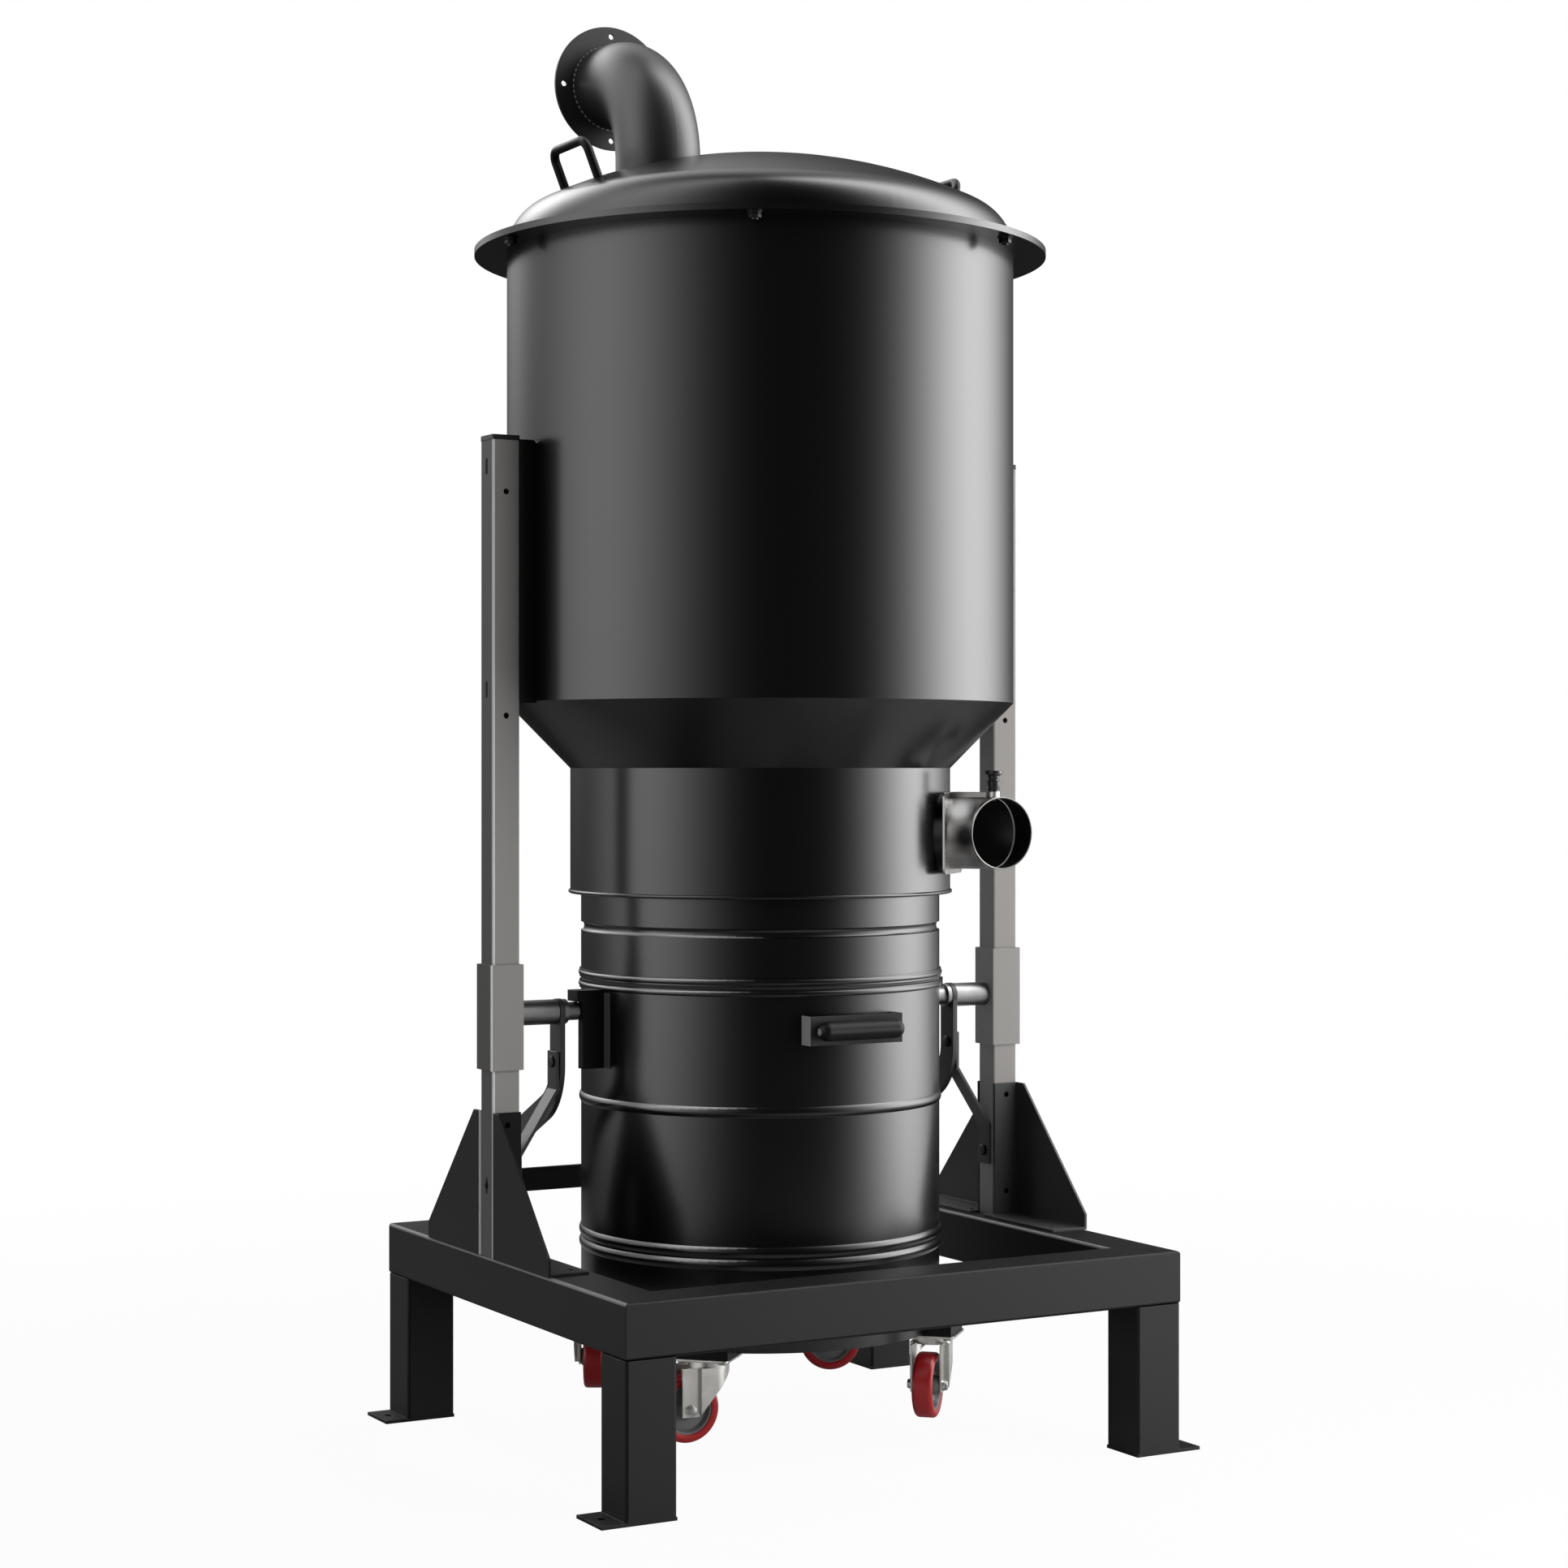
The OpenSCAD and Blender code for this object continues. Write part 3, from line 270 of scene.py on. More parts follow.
# Painted light on the inlet pipe: shade inside it and on one side of its rim, a highlight along its inner weld
# seam, and soft highlight and shade spots on its outside.
# Inlet pipe: it leaves the chamber at 45 degrees and turns to the front at its seam.
PIPE_OUT = Vector((1, -1, 0)).normalized()
PIPE_ACROSS = Vector((1, 1, 0)).normalized()
PIPE_RUN = 63.6 * MM                    # length of the run before the seam
MOUTH_OUT = Vector((0, -1, 0))
MOUTH_ACROSS = Vector((1, 0, 0))
# Depths under the pipe's outer face: the painted shade inside the pipe is full below the first, and gone above the
# second.
PIPE_INSIDE_SHADE = (1.9 * MM, 1.6 * MM)
SEAM_HALF = (1.0 * MM, 1.8 * MM)        # full half width of the seam's painted highlight, and where it has faded out
RIM_SHADE_DEPTH = 0.3 * MM                    # how far behind the mouth's plane the rim's painted shade reaches
RIM_SHADE_SPAN = (-0.5, 0.7)                  # in radii, from where the rim's painted shade starts to where it is full
# the rim's painted shade at its darkest
RIM_SHADE_AMOUNT = 0.8
# Soft ovals of painted light on the pipe's outside, Glare and Sheen as painted highlights and Shade as painted
# shade: middle, then half size, each along and up.
DUCT_LIGHT_SPOTS = (
    ("Glare", (20 * MM, 36 * MM), (27 * MM, 26 * MM)),
    ("Shade", (30 * MM, -5 * MM), (30 * MM, 38 * MM)),
    ("Sheen", (20 * MM, -44 * MM), (24 * MM, 17 * MM)),
)
SPOT_EDGE = (1.0, 0.2)                  # shares of the half size where a spot starts, and is full
# The grey that each mark of painted highlight and shade turns the pipe to, in the order they are laid over it.
DUCT_LIGHT_TONES = (("Shade", 0.02), ("Sheen", 0.6), ("Glare", 0.9), ("Rim_shade", 0.03), ("Inside", 0.008),
              ("Seam", 0.95))


def duct_light_group():
    """Masks for painted light on the inlet pipe: painted shade inside it and on one side of its rim, a painted
    highlight along its inner weld seam, and soft painted highlights and shade on its outside.
    """
    group, _, outer = new_group("duct_painted_light", [], [(label, FLOAT) for label, _ in DUCT_LIGHT_TONES])
    level = middle("inlet_flange").z
    radius = level - low("inlet_pipe").z
    seam_x = high("inlet_pipe").x - radius
    seam = Vector((seam_x, drum_axis.y - seam_x, level))
    offset = offset_from(group, seam)
    rise = add_dot(group, offset, UP)
    side = add_dot(group, offset, (PIPE_OUT + MOUTH_OUT).normalized())
    past = add_math(group, "GREATER_THAN", side, 0.0)
    before = add_math(group, "SUBTRACT", 1.0, past)
    across = add_math(
        group, "ADD",
        add_math(group, "MULTIPLY", before, add_dot(group, offset, PIPE_ACROSS)),
        add_math(group, "MULTIPLY", past, add_dot(group, offset, MOUTH_ACROSS)))
    wall, skin = PIPE_INSIDE_SHADE
    reach = add_length(group, across, rise)
    inside = add_range(group, reach, radius - wall, radius - skin, 1.0, 0.0)
    near = add_range(group, add_math(group, "ABSOLUTE", side), *SEAM_HALF, 1.0, 0.0)
    mouth = add_math(group, "GREATER_THAN", add_dot(group, offset, MOUTH_OUT),
                     seam.y - low("inlet_pipe").y - RIM_SHADE_DEPTH)
    bare, dark = RIM_SHADE_SPAN
    rim = add_range(group, across, bare * radius, dark * radius, 0.0, RIM_SHADE_AMOUNT)
    marks = {
        "Inside": inside,
        "Seam": add_math(group, "MULTIPLY", near, inside),
        "Rim_shade": add_math(group, "MULTIPLY", mouth, rim),
    }
    run = add_math(group, "ADD", add_dot(group, offset, PIPE_OUT), PIPE_RUN)
    for label, centre, half in DUCT_LIGHT_SPOTS:
        spot = [add_math(group, "DIVIDE", add_math(group, "SUBTRACT", value, at), size)
                for value, at, size in zip((run, rise), centre, half)]
        marks[label] = add_range(group, add_length(group, *spot), *SPOT_EDGE, blend="SMOOTHSTEP")
    return give(group, outer, marks)


WELD_RADIUS = 67 * MM
WELD_HALF = (0.5 * MM, 1.1 * MM)        # full half width of the line, and where it has faded out
WELD_DASHES = 48.0
DASH_EDGE = (-0.5, -0.1)                # heights of the wave between which a dash starts
WELD_TONE = 0.9


def weld_ring_group():
    """Thin broken weld line round the elbow on the outlet flange's inner side."""
    group, _, outer = new_group("weld_ring", [], [("Line", FLOAT)])
    offset = offset_from(group, middle("outlet_flange"))
    along, rise = add_dot(group, offset, (1, 0, 0)), add_dot(group, offset, UP)
    reach = add_math(group, "SUBTRACT", add_length(group, along, rise), WELD_RADIUS)
    ring = add_range(group, add_math(group, "ABSOLUTE", reach), *WELD_HALF, 1.0, 0.0)
    turn = add_math(group, "MULTIPLY", add_math(group, "ARCTAN2", rise, along), WELD_DASHES)
    dash = add_range(group, add_math(group, "SINE", turn), *DASH_EDGE)
    return give(group, outer, {"Line": add_math(group, "MULTIPLY", ring, dash)})


def facing_light_group():
    """Mask for painted highlights and shade: marks the faces that look along a direction, such as one rounded
    corner of a tube.
    """
    group, inner, outer = new_group(
        "facing_light_paint", [("East", 0.0), ("North", 0.0), ("Up", 1.0), ("Start", 0.74), ("Full", 0.84)],
        [("Mask", FLOAT)])
    direction = group.nodes.new("ShaderNodeCombineXYZ")
    for label, socket in zip(("East", "North", "Up"), direction.inputs):
        group.links.new(inner[label], socket)
    normal = group.nodes.new("ShaderNodeNewGeometry").outputs["True Normal"]
    facing = add_dot(group, normal, direction.outputs[0])
    return give(group, outer, {"Mask": add_range(group, facing, inner["Start"], inner["Full"])})


POWDER_COAT = powder_coat_group()
FACING_LIGHT_PAINT = facing_light_group()
BARE_METAL = bare_metal_group()
DUCT_PAINTED_LIGHT = duct_light_group()
WELD_RING = weld_ring_group()


# ---------- materials ----------

EDGE_RADIUS = 1.5 * MM
EDGE_SAMPLES = 4
COAT_SPREAD = 0.04
COAT_BUMP_DEPTH = 0.4 * MM
METAL_SPREAD = 0.12
METAL_BUMP = 0.05
METAL_BUMP_DEPTH = 0.3 * MM


def new_material(name):
    material = bpy.data.materials.new(name)
    material.use_nodes = True
    tree = material.node_tree
    return material, tree, tree.nodes["Principled BSDF"]


def place_group(tree, group, **values):
    node = tree.nodes.new("ShaderNodeGroup")
    node.node_tree = group
    for label, value in values.items():
        node.inputs[label].default_value = value
    return node.outputs


def wire_finish(tree, shader, effect, bump_strength, bump_depth, edge_radius):
    tree.links.new(effect["Colour"], shader.inputs["Base Color"])
    tree.links.new(effect["Roughness"], shader.inputs["Roughness"])
    bump = tree.nodes.new("ShaderNodeBump")
    if edge_radius:
        edge = tree.nodes.new("ShaderNodeBevel")
        edge.samples = EDGE_SAMPLES
        edge.inputs["Radius"].default_value = edge_radius
        tree.links.new(edge.outputs["Normal"], bump.inputs["Normal"])
    bump.inputs["Strength"].default_value = bump_strength
    bump.inputs["Distance"].default_value = bump_depth
    tree.links.new(effect["Height"], bump.inputs["Height"])
    tree.links.new(bump.outputs["Normal"], shader.inputs["Normal"])


def coat(name, colour, roughness, clouding=0.15, grain=900.0, bump=0.08, specular=0.5,
         edge_radius=EDGE_RADIUS):
    """Powder coat, paint, rubber or plastic."""
    material, tree, shader = new_material(name)
    effect = place_group(tree, POWDER_COAT, Colour=colour, Clouding=clouding, Roughness=roughness,
                         Spread=COAT_SPREAD, Grain=grain)
    shader.inputs["Specular IOR Level"].default_value = specular
    wire_finish(tree, shader, effect, bump, COAT_BUMP_DEPTH, edge_radius)
    return material


def metal(name, light, dark, roughness, patch=12.0, edge_radius=EDGE_RADIUS):
    """Bare, plated or dark metal."""
    material, tree, shader = new_material(name)
    effect = place_group(tree, BARE_METAL, Light=light, Dark=dark, Patch=patch,
                         Roughness=roughness, Spread=METAL_SPREAD)
    shader.inputs["Metallic"].default_value = 1.0
    wire_finish(tree, shader, effect, METAL_BUMP, METAL_BUMP_DEPTH, edge_radius)
    return material


def tint(material, mask, tone):
    """Turns a finished material towards a grey tone where the mask is set."""
    tree = material.node_tree
    colour = tree.nodes["Principled BSDF"].inputs["Base Color"]
    tree.links.new(add_mix(tree, mask, colour.links[0].from_socket, grey(tone)), colour)


# How straight a face has to look along a direction for the painted highlights and shades: where the painted tone
# starts, and where it is full.
FLAT_FACE = (0.97, 0.99)
ROUND_END = (0.9, 0.96)
BEAD = (0.8, 0.92)
CORNER = (0.74, 0.84)


def paint_facing_light(material, direction, spread, tone, amount=1.0):
    """Paints light into a finished coat: turns it towards a tone, lighter as a painted highlight and darker as
    painted shade, where its faces look along the direction.
    """
    tree = material.node_tree
    east, north, up = Vector(direction).normalized()
    start, full = spread
    catch = place_group(tree, FACING_LIGHT_PAINT, East=east, North=north, Up=up, Start=start, Full=full)
    tint(material, add_math(tree, "MULTIPLY", catch["Mask"], amount), tone)


def painted_light_duct_metal(name, light, dark, roughness):
    """Steel with painted light: near-black painted shade inside the pipe and on the rim, a painted highlight along
    the inner weld seam, and soft painted highlights and shade outside.
    """
    material = metal(name, light, dark, roughness, patch=10.0)
    tree = material.node_tree
    marks = place_group(tree, DUCT_PAINTED_LIGHT)
    for label, tone in DUCT_LIGHT_TONES:
        tint(material, marks[label], tone)
    # Where the painted shade inside or the painted glare lies, the steel is made plain, not metallic, so that the
    # painted tone shows.
    plain = add_math(tree, "MAXIMUM", marks["Inside"], marks["Glare"])
    tree.links.new(add_math(tree, "SUBTRACT", 1.0, plain),
                   tree.nodes["Principled BSDF"].inputs["Metallic"])
    return material


def welded_coat(name, colour, roughness):
    """Powder coat with the broken weld line of the outlet's elbow."""
    material = coat(name, colour, roughness)
    tint(material, place_group(material.node_tree, WELD_RING)["Line"], WELD_TONE)
    return material


HOUSING_PAINT = {"colour": grey(0.004), "roughness": 0.24, "edge_radius": 0}
STAND_PAINT = {"colour": grey(0.005), "roughness": 0.45, "specular": 0.14}
POST_PAINT = {"colour": (0.27, 0.26, 0.25, 1), "roughness": 0.42, "clouding": 0.06,
              "specular": 0.25}

housing_black = coat("housing_black", **HOUSING_PAINT)
# The bin's black, with painted highlights on the faces of its beads that look up and to the left.
bin_highlit_black = coat("bin_highlit_black", **HOUSING_PAINT)
paint_facing_light(bin_highlit_black, (-1, -0.2, 0.9), BEAD, 0.8)
elbow_black = coat("elbow_black", grey(0.02), 0.36, edge_radius=0)
flange_black = welded_coat("flange_black", grey(0.03), 0.4)
# Stand black: front faces painted a little lighter as painted light, and a painted highlight on the edges that
# look up and to the left.
stand_black = coat("stand_black", **STAND_PAINT)
paint_facing_light(stand_black, (0, -1, 0), FLAT_FACE, 0.022)
paint_facing_light(stand_black, (-1, 0, 1), CORNER, 0.3)
# Handle black: front faces painted a little lighter, and a painted highlight on the ends that look left.
handle_black = coat("handle_black", **STAND_PAINT)
paint_facing_light(handle_black, (0, -1, 0), FLAT_FACE, 0.022)
paint_facing_light(handle_black, (-1, 0, 0), ROUND_END, 0.5)
bracket_black = coat("bracket_black", **STAND_PAINT)
# The right gussets' black, painted paler than the stand's black as painted light where they sit in shade.
right_gusset_painted_light = coat("right_gusset_painted_light", grey(0.05), 0.45, specular=0.25)
# The flaps' dark finish, painted paler as painted light where the hook shades them.
flap_painted_light = coat("flap_painted_light", grey(0.12), 0.4, specular=0.3)
# Near-black with no shine, as painted shade for the dark inside of holes and slots.
hole_shade_black = coat("hole_shade_black", grey(0.001), 0.9, specular=0.05)
lever_black = coat("lever_black", grey(0.02), 0.4)
# Post grey: faces that look left painted lighter as painted light.
post_grey = coat("post_grey", **POST_PAINT)
paint_facing_light(post_grey, (-1, 0, 0), FLAT_FACE, 0.5)
# The left post's own copy of the grey: a painted highlight along its front-left corner and painted shade on its
# faces that look left.
left_post_grey = coat("left_post_grey", **POST_PAINT, edge_radius=0)
paint_facing_light(left_post_grey, (-1, -1, 0), CORNER, 0.95)
paint_facing_light(left_post_grey, (-1, 0, 0), FLAT_FACE, 0.02, amount=0.65)
cap_black = coat("cap_black", grey(0.015), 0.5, grain=1500.0)
knob_black = coat("knob_black", grey(0.012), 0.3, grain=1500.0, bump=0.03)
gasket_black = coat("gasket_black", grey(0.01), 0.7, grain=700.0)
tyre_red = coat("tyre_red", (0.42, 0.012, 0.015, 1), 0.34, clouding=0.2, grain=500.0, bump=0.05)
hub_grey = coat("hub_grey", grey(0.16), 0.42)
pivot_steel = metal("pivot_steel", grey(0.3), grey(0.2), 0.34)
inlet_steel = metal("inlet_steel", (0.66, 0.65, 0.64, 1), (0.4, 0.39, 0.38, 1), 0.2, patch=10.0,
                    edge_radius=0.3 * MM)
inlet_tube = painted_light_duct_metal("inlet_tube", (0.42, 0.41, 0.4, 1), (0.26, 0.25, 0.24, 1), 0.3)
seat_nickel = metal("seat_nickel", grey(0.85), grey(0.75), 0.38)
caster_zinc = metal("caster_zinc", (0.66, 0.65, 0.62, 1), (0.5, 0.49, 0.46, 1), 0.25, patch=25.0)
bolt_zinc = metal("bolt_zinc", grey(0.5), grey(0.35), 0.3, patch=60.0)
bolt_black = metal("bolt_black", grey(0.06), grey(0.03), 0.4, patch=60.0)

# The finish of every node by its slot, and then the nodes that take one of their own.
FINISHES = {
    "black_paint": stand_black,
    "grey_paint": post_grey,
    "grey_steel": pivot_steel,
    "bare_steel": inlet_steel,
    "nickel": seat_nickel,
    "zinc_plate": caster_zinc,
    "caster_wheel": tyre_red,
    "black_plastic": cap_black,
    "gasket": gasket_black,
}
SPECIAL = {
    housing_black: ("filter_drum", "drum_flange", "hopper_cone", "inlet_chamber", "lid_flange",
                    "lid_dome", "inlet_collar", "bin_floor", "left_channel", "right_channel"),
    bin_highlit_black: ("bin_shell", "neck_ring"),
    elbow_black: ("outlet_elbow",),
    flange_black: ("outlet_flange",),
    inlet_tube: ("inlet_pipe",),
    knob_black: ("plunger_knob",),
    handle_black: ("front_bin_handle", "rear_bin_handle"),
    lever_black: ("left_lever_arm", "right_lever_arm", "lever_crossbar", "left_link", "right_link"),
    left_post_grey: ("left_post", "left_sleeve"),
    bracket_black: ("front_left_gusset", "rear_left_gusset", "left_hook", "right_hook"),
    right_gusset_painted_light: ("front_right_gusset", "rear_right_gusset"),
}


def dress(name, material):
    materials = nodes[name].data.materials
    materials.clear()
    materials.append(material)


def dress_nodes():
    for subpart in frame["record"]["subparts"]:
        dress(subpart["node"], FINISHES[subpart["material_slot"]])
    for material, names in SPECIAL.items():
        for name in names:
            dress(name, material)


# ---------- mesh tools ----------

JOIN_DISTANCE = 1e-6
SMOOTH_ANGLE = math.radians(35)
HEAD_SIDES = 32
BAR_SIDES = 24


def add_piece(name, work, material, body):
    """Turns a finished bmesh into a piece of the given body."""
    bmesh.ops.remove_doubles(work, verts=work.verts, dist=JOIN_DISTANCE)
    bmesh.ops.recalc_face_normals(work, faces=work.faces)
    mesh = new_mesh(name, work)
    piece = add_to_scene(name, mesh)
    mesh.materials.append(material)
    mesh.shade_smooth()
    mesh.set_sharp_from_angle(angle=SMOOTH_ANGLE)
    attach(piece, body)
    return piece


def place(axis, at):
    """Matrix that takes local +Z to the given axis at a point."""
    turn = Vector(axis).normalized().to_track_quat("Z", "Y").to_matrix().to_4x4()
    return Matrix.Translation(Vector(at)) @ turn


def prism(work, matrix, sides, radius, start, end, bevel=0.0):
    """Round or many-sided bar from start to end along the matrix's own Z."""
    made = bmesh.ops.create_cone(
        work, cap_ends=True, segments=sides, radius1=radius, radius2=radius, depth=end - start,
        matrix=matrix @ Matrix.Translation((0, 0, (start + end) / 2)))
    if bevel:
        rims = [edge for vert in made["verts"] for edge in vert.link_edges
                if any(len(face.verts) > 4 for face in edge.link_faces)]
        bmesh.ops.bevel(work, geom=list(dict.fromkeys(rims)), offset=bevel, segments=2,
                        affect="EDGES", profile=0.5, material=-1)


def spin_profile(work, matrix, points, steps):
    """Closed ring or solid: (radius, height) points spun about the matrix's own Z."""
    verts = [work.verts.new(matrix @ Vector((r, 0, h))) for r, h in points]
    edges = [work.edges.new((verts[i], verts[(i + 1) % len(verts)])) for i in range(len(verts))]
    centre = matrix @ Vector((0, 0, 0))
    axis = (matrix.to_3x3() @ UP).normalized()
    bmesh.ops.spin(work, geom=verts + edges, cent=centre, axis=axis, angle=2 * math.pi,
                   steps=steps, use_merge=True, use_duplicate=False)


# ---------- fasteners and trim ----------

# Measures of a bolt as shares of its thread: corner of the hex, washer, rounding of the edges.
HEX_REACH = 0.94
WASHER_REACH = 1.15
WASHER_LIFT = 0.18
ROUNDING = 0.06

LID_BOLT = 10 * MM
LID_BOLTS = 6
BOLT_CIRCLE = 432 * MM


def hex_bolt(work, matrix, size, head, shank=0.0, washer=True):
    """Hex head of a bolt or nut that sits on the plane z = 0 of the matrix."""
    lift = size * WASHER_LIFT if washer else 0.0
    if washer:
        prism(work, matrix, HEAD_SIDES, size * WASHER_REACH, 0, lift, lift * 0.25)
    prism(work, matrix, 6, size * HEX_REACH, lift, lift + head, size * ROUNDING)
    if shank:
        prism(work, matrix, BAR_SIDES, size / 2, lift, lift + shank, size * ROUNDING)


def low_head(work, matrix, radius, lift):
    """Low round head with a rounded rim, on the plane z = 0 of the matrix."""
    prism(work, matrix, HEAD_SIDES, radius, 0, lift, lift * 0.4)


def lid_bolts():
    work = bmesh.new()
    for step in range(LID_BOLTS):
        angle = math.radians(step * 360 / LID_BOLTS)
        point = (drum_axis.x + BOLT_CIRCLE * math.cos(angle),
                 drum_axis.y + BOLT_CIRCLE * math.sin(angle), low("drum_flange").z)
        hex_bolt(work, place((0, 0, -1), point), LID_BOLT, head=8 * MM, shank=11 * MM)
    add_piece("lid_bolts", work, bolt_black, "frame")


GUSSET_HOLES = (40 * MM, 199 * MM)      # height over the gussets' foot
GUSSET_FACE = 26.5 * MM                 # from the posts' middle to the gussets' outer face
HOLE_SHADE_SPAN = (-3.4 * MM, -0.6 * MM)      # start and end of a disc of painted shade, from that face
HOLE_SHADE_RADIUS = 4.3 * MM


def gusset_hole_shades():
    """Near-black discs in the holes of the gussets' upright plates: painted shade that fills the holes."""
    work = bmesh.new()
    for side, end, rise in itertools.product((-1, 1), (-1, 1), GUSSET_HOLES):
        point = (side * middle("right_post").x, drum_axis.y + end * GUSSET_FACE,
                 low("front_right_gusset").z + rise)
        prism(work, place((0, end, 0), point), BAR_SIDES, HOLE_SHADE_RADIUS, *HOLE_SHADE_SPAN)
    add_piece("gusset_hole_shades", work, hole_shade_black, "frame")


BEAD_RADIUS = 2.6 * MM
BEAD_REACH = 24 * MM                    # from the posts' middle to a bead's own middle
BEAD_INSET = 1.5 * MM                   # from the gussets' outer edge to a bead's middle
BEAD_SIDES = 16


def corner_beads():
    """Post corners that show beside the gussets, as slim rounded beads."""
    for side, label in SIDES:
        work = bmesh.new()
        gusset = "front_" + label + "_gusset"
        foot = low(gusset).z
        for end in (-1, 1):
            at = (side * (high("front_right_gusset").x - BEAD_INSET),
                  drum_axis.y + end * BEAD_REACH, foot)
            prism(work, place(UP, at), BEAD_SIDES, BEAD_RADIUS, 0, high(gusset).z - foot)
        add_piece(label + "_corner_beads", work, left_post_grey, "frame")


BIN_RADIUS = 283.5 * MM                 # outside of the bin's wall
FLAP_WIDTH = 15 * MM
FLAP_SHEET = 2 * MM
FLAP_LIFT = 0.7 * MM                    # from the bin's wall to the middle of the sheet


def hook_flaps():
    """Thin plates beside the hooks, flat against the bin's wall."""
    work = bmesh.new()
    for side, label in SIDES:
        hook_low, hook_high = low(label + "_hook").z, high(label + "_hook").z
        reach = drum_axis.y - low(label + "_hook").y
        turn = math.asin(reach / BIN_RADIUS) + FLAP_WIDTH / 2 / BIN_RADIUS
        out = Vector((side * math.cos(turn), -math.sin(turn), 0))
        at = Vector((0, drum_axis.y, (hook_low + hook_high) / 2)) + out * (BIN_RADIUS + FLAP_LIFT)
        size = Matrix.Diagonal((FLAP_WIDTH, hook_high - hook_low, FLAP_SHEET, 1))
        bmesh.ops.create_cube(work, size=1.0, matrix=place(out, at) @ size)
    add_piece("hook_flaps", work, flap_painted_light, "bin_lift")


SLOT_RISE = 107 * MM                    # height of the lower slots over the gussets' foot
SLOT_STRETCH = 1.3
SLOT_RADIUS = 4.6 * MM
SLOT_SPAN = (-2 * MM, 0.3 * MM)         # start and end of an oval of painted shade, from the post's outer face


def slot_shades():
    """Near-black ovals over the link bolts' ends that fill the posts' lower slots as painted shade."""
    work = bmesh.new()
    rise = low("front_left_gusset").z + SLOT_RISE
    oval = Matrix.Diagonal((SLOT_STRETCH, 1, 1, 1))
    for side, x in ((-1, low("left_post").x), (1, high("right_post").x)):
        face = place((side, 0, 0), (x, drum_axis.y, rise))
        prism(work, face @ oval, BAR_SIDES, SLOT_RADIUS, *SLOT_SPAN)
    add_piece("slot_shades", work, hole_shade_black, "frame")


# Half outline of the plunger's grip in mm: radius, and height over the knob's top.
GRIP_OUTLINE = (
    (0, -29.4), (9.4, -29.4), (9.8, -28.8), (9.8, -17.4), (10.4, -17), (10.4, -15.6), (9.8, -15),
    (8, -14.6), (8, -9.5), (9.6, -7.6), (13.2, -5.2), (13.4, -4.4), (13.4, -1), (12.6, 0.4),
    (0, 0.4))
GRIP_STEPS = 64


def plunger_grip():
    """Moulded grip over the plunger's knob: a sleeve with a bead, and a wide cap."""
    centre = middle("plunger_knob")
    work = bmesh.new()
    spin_profile(work, place(UP, (centre.x, centre.y, high("plunger_knob").z)),
                 [(r * MM, h * MM) for r, h in GRIP_OUTLINE], GRIP_STEPS)
    add_piece("plunger_grip", work, knob_black, "plunger")


LINK_SHEET = 5 * MM
LINK_HEAD_RADIUS = 9 * MM
LINK_FOOT_HEIGHT = 414 * MM             # of the links' lower pins over the floor
CRANK_HEIGHT = 596 * MM                 # of the pins between link and lever arm, at rest


def link_bolts():
    """Low heads at both pins of the links: one at the foot, and one on each side of the upper."""
    link_in, link_out = low("right_link").x, high("right_link").x
    # Name, body, distance from the middle, height, way it looks (1 is outwards), height of the head.
    heads = (
        ("_link_foot_bolt", "frame", link_out - LINK_SHEET, LINK_FOOT_HEIGHT, -1, 3.5 * MM),
        ("_crank_bolt", "lever", low("right_lever_arm").x, CRANK_HEIGHT, -1, 3 * MM),
        ("_link_head_nut", "links", link_in + LINK_SHEET, CRANK_HEIGHT, 1, 3 * MM))
    for side, label in SIDES:
        for name, body, x, height, way, lift in heads:
            work = bmesh.new()
            at = (side * x, middle("right_link").y, height)
            low_head(work, place((way * side, 0, 0), at), LINK_HEAD_RADIUS, lift)
            add_piece(label + name, work, bolt_black, body)


# ---------- casters ----------

CASTERS = ("front_left", "front_right", "rear_left", "rear_right")
WHEEL_STEPS = 96
WHEEL_RADIUS = 50 * MM
TYRE_INNER = 37.5 * MM
TYRE_WIDTH = 32 * MM
TYRE_ROUND = 6 * MM
HUB_WIDTH = 42 * MM
FORK_LEG = 7.5 * MM                     # from the hub's end to the outside of the fork's leg
AXLE_BORE = 5.05 * MM
# Reach of a caster from the bin's axis along X and Y, and its plate and screws.
CASTER_REACH = 198 * MM
PLATE_WIDTH = 84 * MM
SCREW_INSET = 11 * MM
PLATE_UNDERSIDE = 9 * MM                # over the lowest point of the plates' node
CASTER_BOLT = 7.5 * MM


def wheel_place(name):
    joint = next(j for j in frame["joints"] if j["name"] == name + "_wheel_roll")
    return place(joint["axis"], joint["pos_m"])


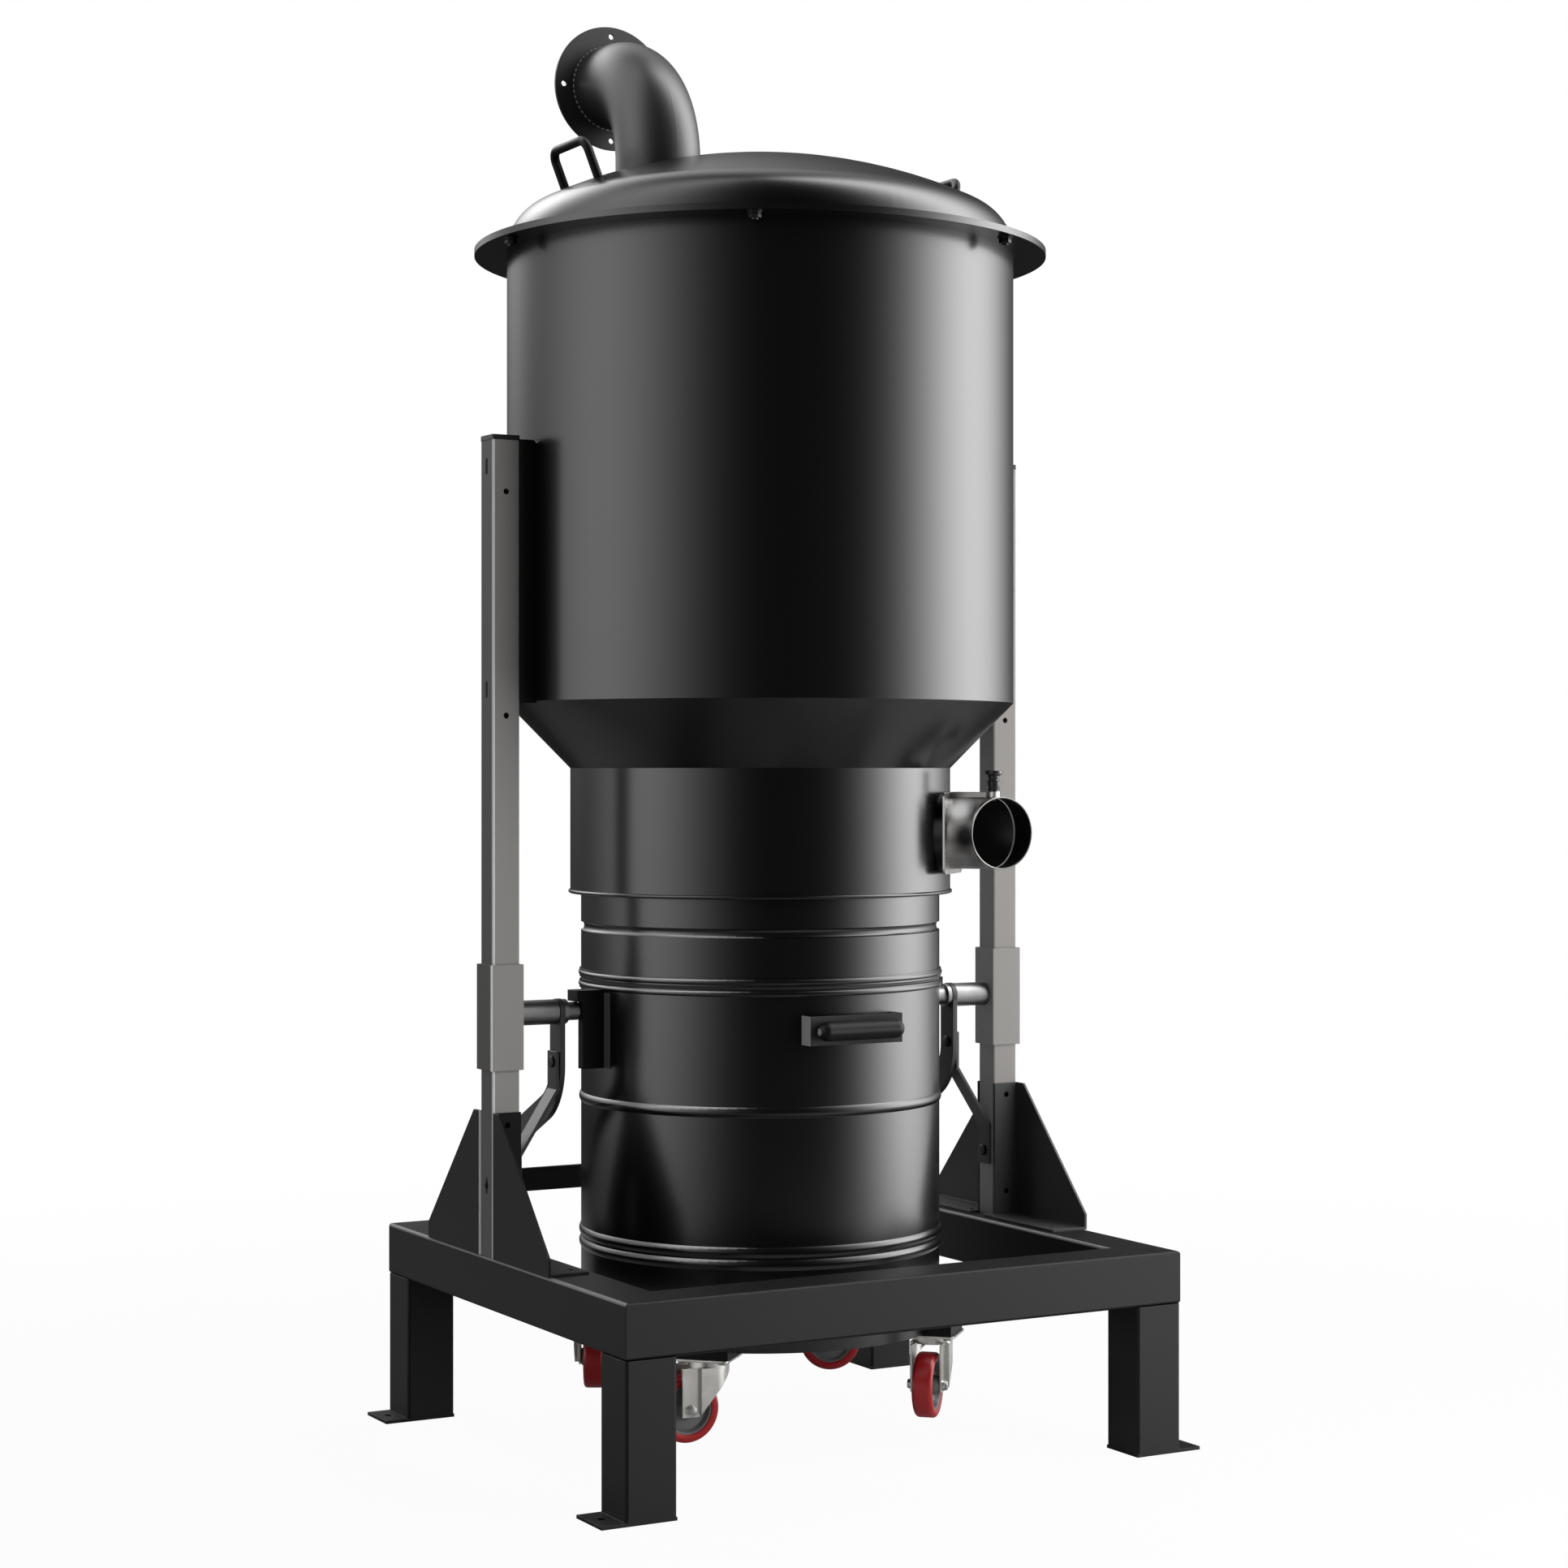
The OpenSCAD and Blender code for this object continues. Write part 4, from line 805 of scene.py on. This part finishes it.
def make_wheel(name):
    """Tyre and hub of one caster, in place of the plain wheel."""
    matrix = wheel_place(name)
    half = TYRE_WIDTH / 2
    profile = [(TYRE_INNER, -half + 1 * MM), (TYRE_INNER + 3 * MM, -half)]
    for step in range(7):
        angle = math.radians(-90 + step * 15)
        profile.append((WHEEL_RADIUS - TYRE_ROUND + TYRE_ROUND * math.cos(angle),
                        -half + TYRE_ROUND + TYRE_ROUND * math.sin(angle)))
    profile += [(r, -z) for r, z in reversed(profile)]
    tyre = bmesh.new()
    spin_profile(tyre, matrix, profile, WHEEL_STEPS)
    piece = add_piece(name + "_tyre", tyre, tyre_red, name + "_roller")
    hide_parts(name + "_wheel")
    rim = TYRE_INNER + 0.2 * MM
    half = HUB_WIDTH / 2
    side = [(AXLE_BORE, half), (13 * MM, half), (14.5 * MM, 17.5 * MM), (15.5 * MM, 7.5 * MM),
            (31 * MM, 6.5 * MM), (34.5 * MM, 13.5 * MM), (rim - 0.5 * MM, 14.2 * MM)]
    profile = ([(r, -z) for r, z in side] + [(rim, -13.5 * MM), (rim, 13.5 * MM)]
               + [(r, z) for r, z in reversed(side)])
    hub = bmesh.new()
    spin_profile(hub, matrix, profile, WHEEL_STEPS)
    add_piece(name + "_hub", hub, hub_grey, name + "_roller")


def axle_bolt(name):
    """Bolt head and nut on the outside of one caster's fork."""
    matrix = wheel_place(name)
    work = bmesh.new()
    for end in (1, -1):
        local = matrix @ Matrix.Translation((0, 0, end * (HUB_WIDTH / 2 + FORK_LEG)))
        if end < 0:
            local = local @ Matrix.Rotation(math.pi, 4, "X")
        hex_bolt(work, local, CASTER_BOLT, head=3 * MM, washer=False)
    add_piece(name + "_axle_bolt", work, bolt_zinc, name + "_swivel")


def plate_bolts():
    """Four bolts under the plate of each caster, which is turned by 45 degrees."""
    work = bmesh.new()
    level = low("caster_plates").z + PLATE_UNDERSIDE
    reach = PLATE_WIDTH / 2 - SCREW_INSET
    turn = Matrix.Rotation(math.radians(45), 3, "Z")
    for x, y, i, j in itertools.product((-1, 1), repeat=4):
        centre = Vector((x * CASTER_REACH, drum_axis.y + y * CASTER_REACH, level))
        at = centre + turn @ Vector((i * reach, j * reach, 0))
        hex_bolt(work, place((0, 0, -1), at), CASTER_BOLT, head=3.8 * MM, washer=False)
    add_piece("caster_plate_bolts", work, bolt_zinc, "bin_lift")


# ---------- studio ----------

FLOOR_RADIUS = 9.0
FLOOR_SIDES = 96
FLOOR_GLOW = 0.96                       # share of plain white in what the camera sees of the floor
FLOOR_FADE = (1.2, 3.2)                 # distances from the middle where it starts and ends to fade


def make_floor():
    """Pale floor that takes soft shadows near the machine and fades out round it."""
    work = bmesh.new()
    bmesh.ops.create_circle(work, cap_ends=True, segments=FLOOR_SIDES, radius=FLOOR_RADIUS)
    mesh = new_mesh("studio_floor", work)
    floor = add_to_scene("studio_floor", mesh)
    material, tree, shader = new_material("studio_floor")
    shader.inputs["Base Color"].default_value = grey(0.8)
    shader.inputs["Roughness"].default_value = 0.9
    shader.inputs["Specular IOR Level"].default_value = 0.1
    glow = tree.nodes.new("ShaderNodeEmission")
    clear = tree.nodes.new("ShaderNodeBsdfTransparent")
    _, seen = direct_rays(tree)
    share = add_math(tree, "MULTIPLY", seen, FLOOR_GLOW)
    pale = mix_shaders(tree, share, shader.outputs[0], glow.outputs[0])
    span = add_vector_math(tree, "LENGTH", object_coords(tree))
    surface = mix_shaders(tree, add_range(tree, span, *FLOOR_FADE), pale, clear.outputs[0])
    tree.links.new(surface, tree.nodes["Material Output"].inputs["Surface"])
    mesh.materials.append(material)


def around(azimuth, elevation=0.0):
    """Direction from the machine; azimuth counts anticlockwise from the camera's side."""
    side = Vector((math.sin(CAMERA_TURN), -math.cos(CAMERA_TURN), 0))
    side.rotate(Matrix.Rotation(math.radians(azimuth), 3, "Z"))
    rise = math.radians(elevation)
    return side * math.cos(rise) + Vector((0, 0, math.sin(rise)))


# Soft panels that only reflections see: azimuth, elevation (None for one as tall as the room),
# sharpness and strength.
PANELS = (
    (-70, None, 5.0, 3.2),
    (101, None, 8.0, 9.5),
    (-140, 34, 20.0, 7.0),
    (180, 60, 24.0, 1.3),
)
# Even glow behind the machine and in front of it, the share of all this that is left below, and
# the light that matt faces get from all round.
BACK_GLOW = 0.05
FRONT_GLOW = 0.02
BELOW_SHARE = 0.1
ROOM_LIGHT = 0.22


def panel_light(tree, coords):
    """Brightness of the room that polished and painted faces mirror."""
    flat = add_vector_math(tree, "NORMALIZE", add_vector_math(tree, "MULTIPLY", coords, (1, 1, 0)))
    total = add_range(tree, add_dot(tree, coords, around(180)), -0.1, 0.6, FRONT_GLOW, BACK_GLOW)
    for azimuth, elevation, sharpness, strength in PANELS:
        seen = flat if elevation is None else coords
        ahead = add_math(tree, "MAXIMUM", add_dot(tree, seen, around(azimuth, elevation or 0)), 0.0)
        lobe = add_math(tree, "POWER", ahead, sharpness)
        total = add_math(tree, "ADD", total, add_math(tree, "MULTIPLY", lobe, strength))
    above = add_range(tree, add_dot(tree, coords, UP), -0.4, 0.0, BELOW_SHARE, 1.0)
    return add_math(tree, "MULTIPLY", total, above)


def make_world():
    """White behind the machine, panels in its reflections, and an even dim light besides."""
    world = bpy.data.worlds.new("studio")
    bpy.context.scene.world = world
    world.use_nodes = True
    tree = world.node_tree
    back = tree.nodes["Background"]
    back.inputs["Color"].default_value = grey(1.0)
    coords = tree.nodes.new("ShaderNodeTexCoord").outputs["Generated"]
    paths, seen = direct_rays(tree)
    glossy = paths["Is Glossy Ray"]
    mirrored = add_math(tree, "MULTIPLY", panel_light(tree, coords), glossy)
    other = add_math(tree, "SUBTRACT", 1.0, add_math(tree, "MAXIMUM", seen, glossy))
    plain = add_math(tree, "MULTIPLY", other, ROOM_LIGHT)
    strength = add_math(tree, "ADD", add_math(tree, "ADD", mirrored, seen), plain)
    tree.links.new(strength, back.inputs["Strength"])


LAMP_AIM = 1.1                          # height that the lamps look at


def soft_lamp(name, azimuth, distance, height, width, tall, power):
    """Soft box that lights the matt faces."""
    data = bpy.data.lights.new(name, "AREA")
    data.shape = "RECTANGLE"
    data.size = width
    data.size_y = tall
    data.energy = power
    lamp = add_to_scene(name, data)
    lamp.location = around(azimuth) * distance + Vector((0, 0, height))
    aim = Vector((0, 0, LAMP_AIM)) - lamp.location
    lamp.rotation_euler = aim.to_track_quat("-Z", "Y").to_euler()
    lamp.visible_glossy = False


# ---------- build ----------

bpy.context.scene.view_settings.view_transform = "Standard"
make_camera()
dress_nodes()
lid_bolts()
gusset_hole_shades()
corner_beads()
hook_flaps()
slot_shades()
plunger_grip()
link_bolts()
for caster in CASTERS:
    make_wheel(caster)
    axle_bolt(caster)
plate_bolts()
make_floor()
make_world()
soft_lamp("front_right_soft_box", azimuth=59, distance=2.2, height=1.3, width=1.2, tall=2.6,
          power=50)
soft_lamp("top_soft_box", azimuth=150, distance=3.0, height=4.5, width=3.0, tall=2.0, power=50)
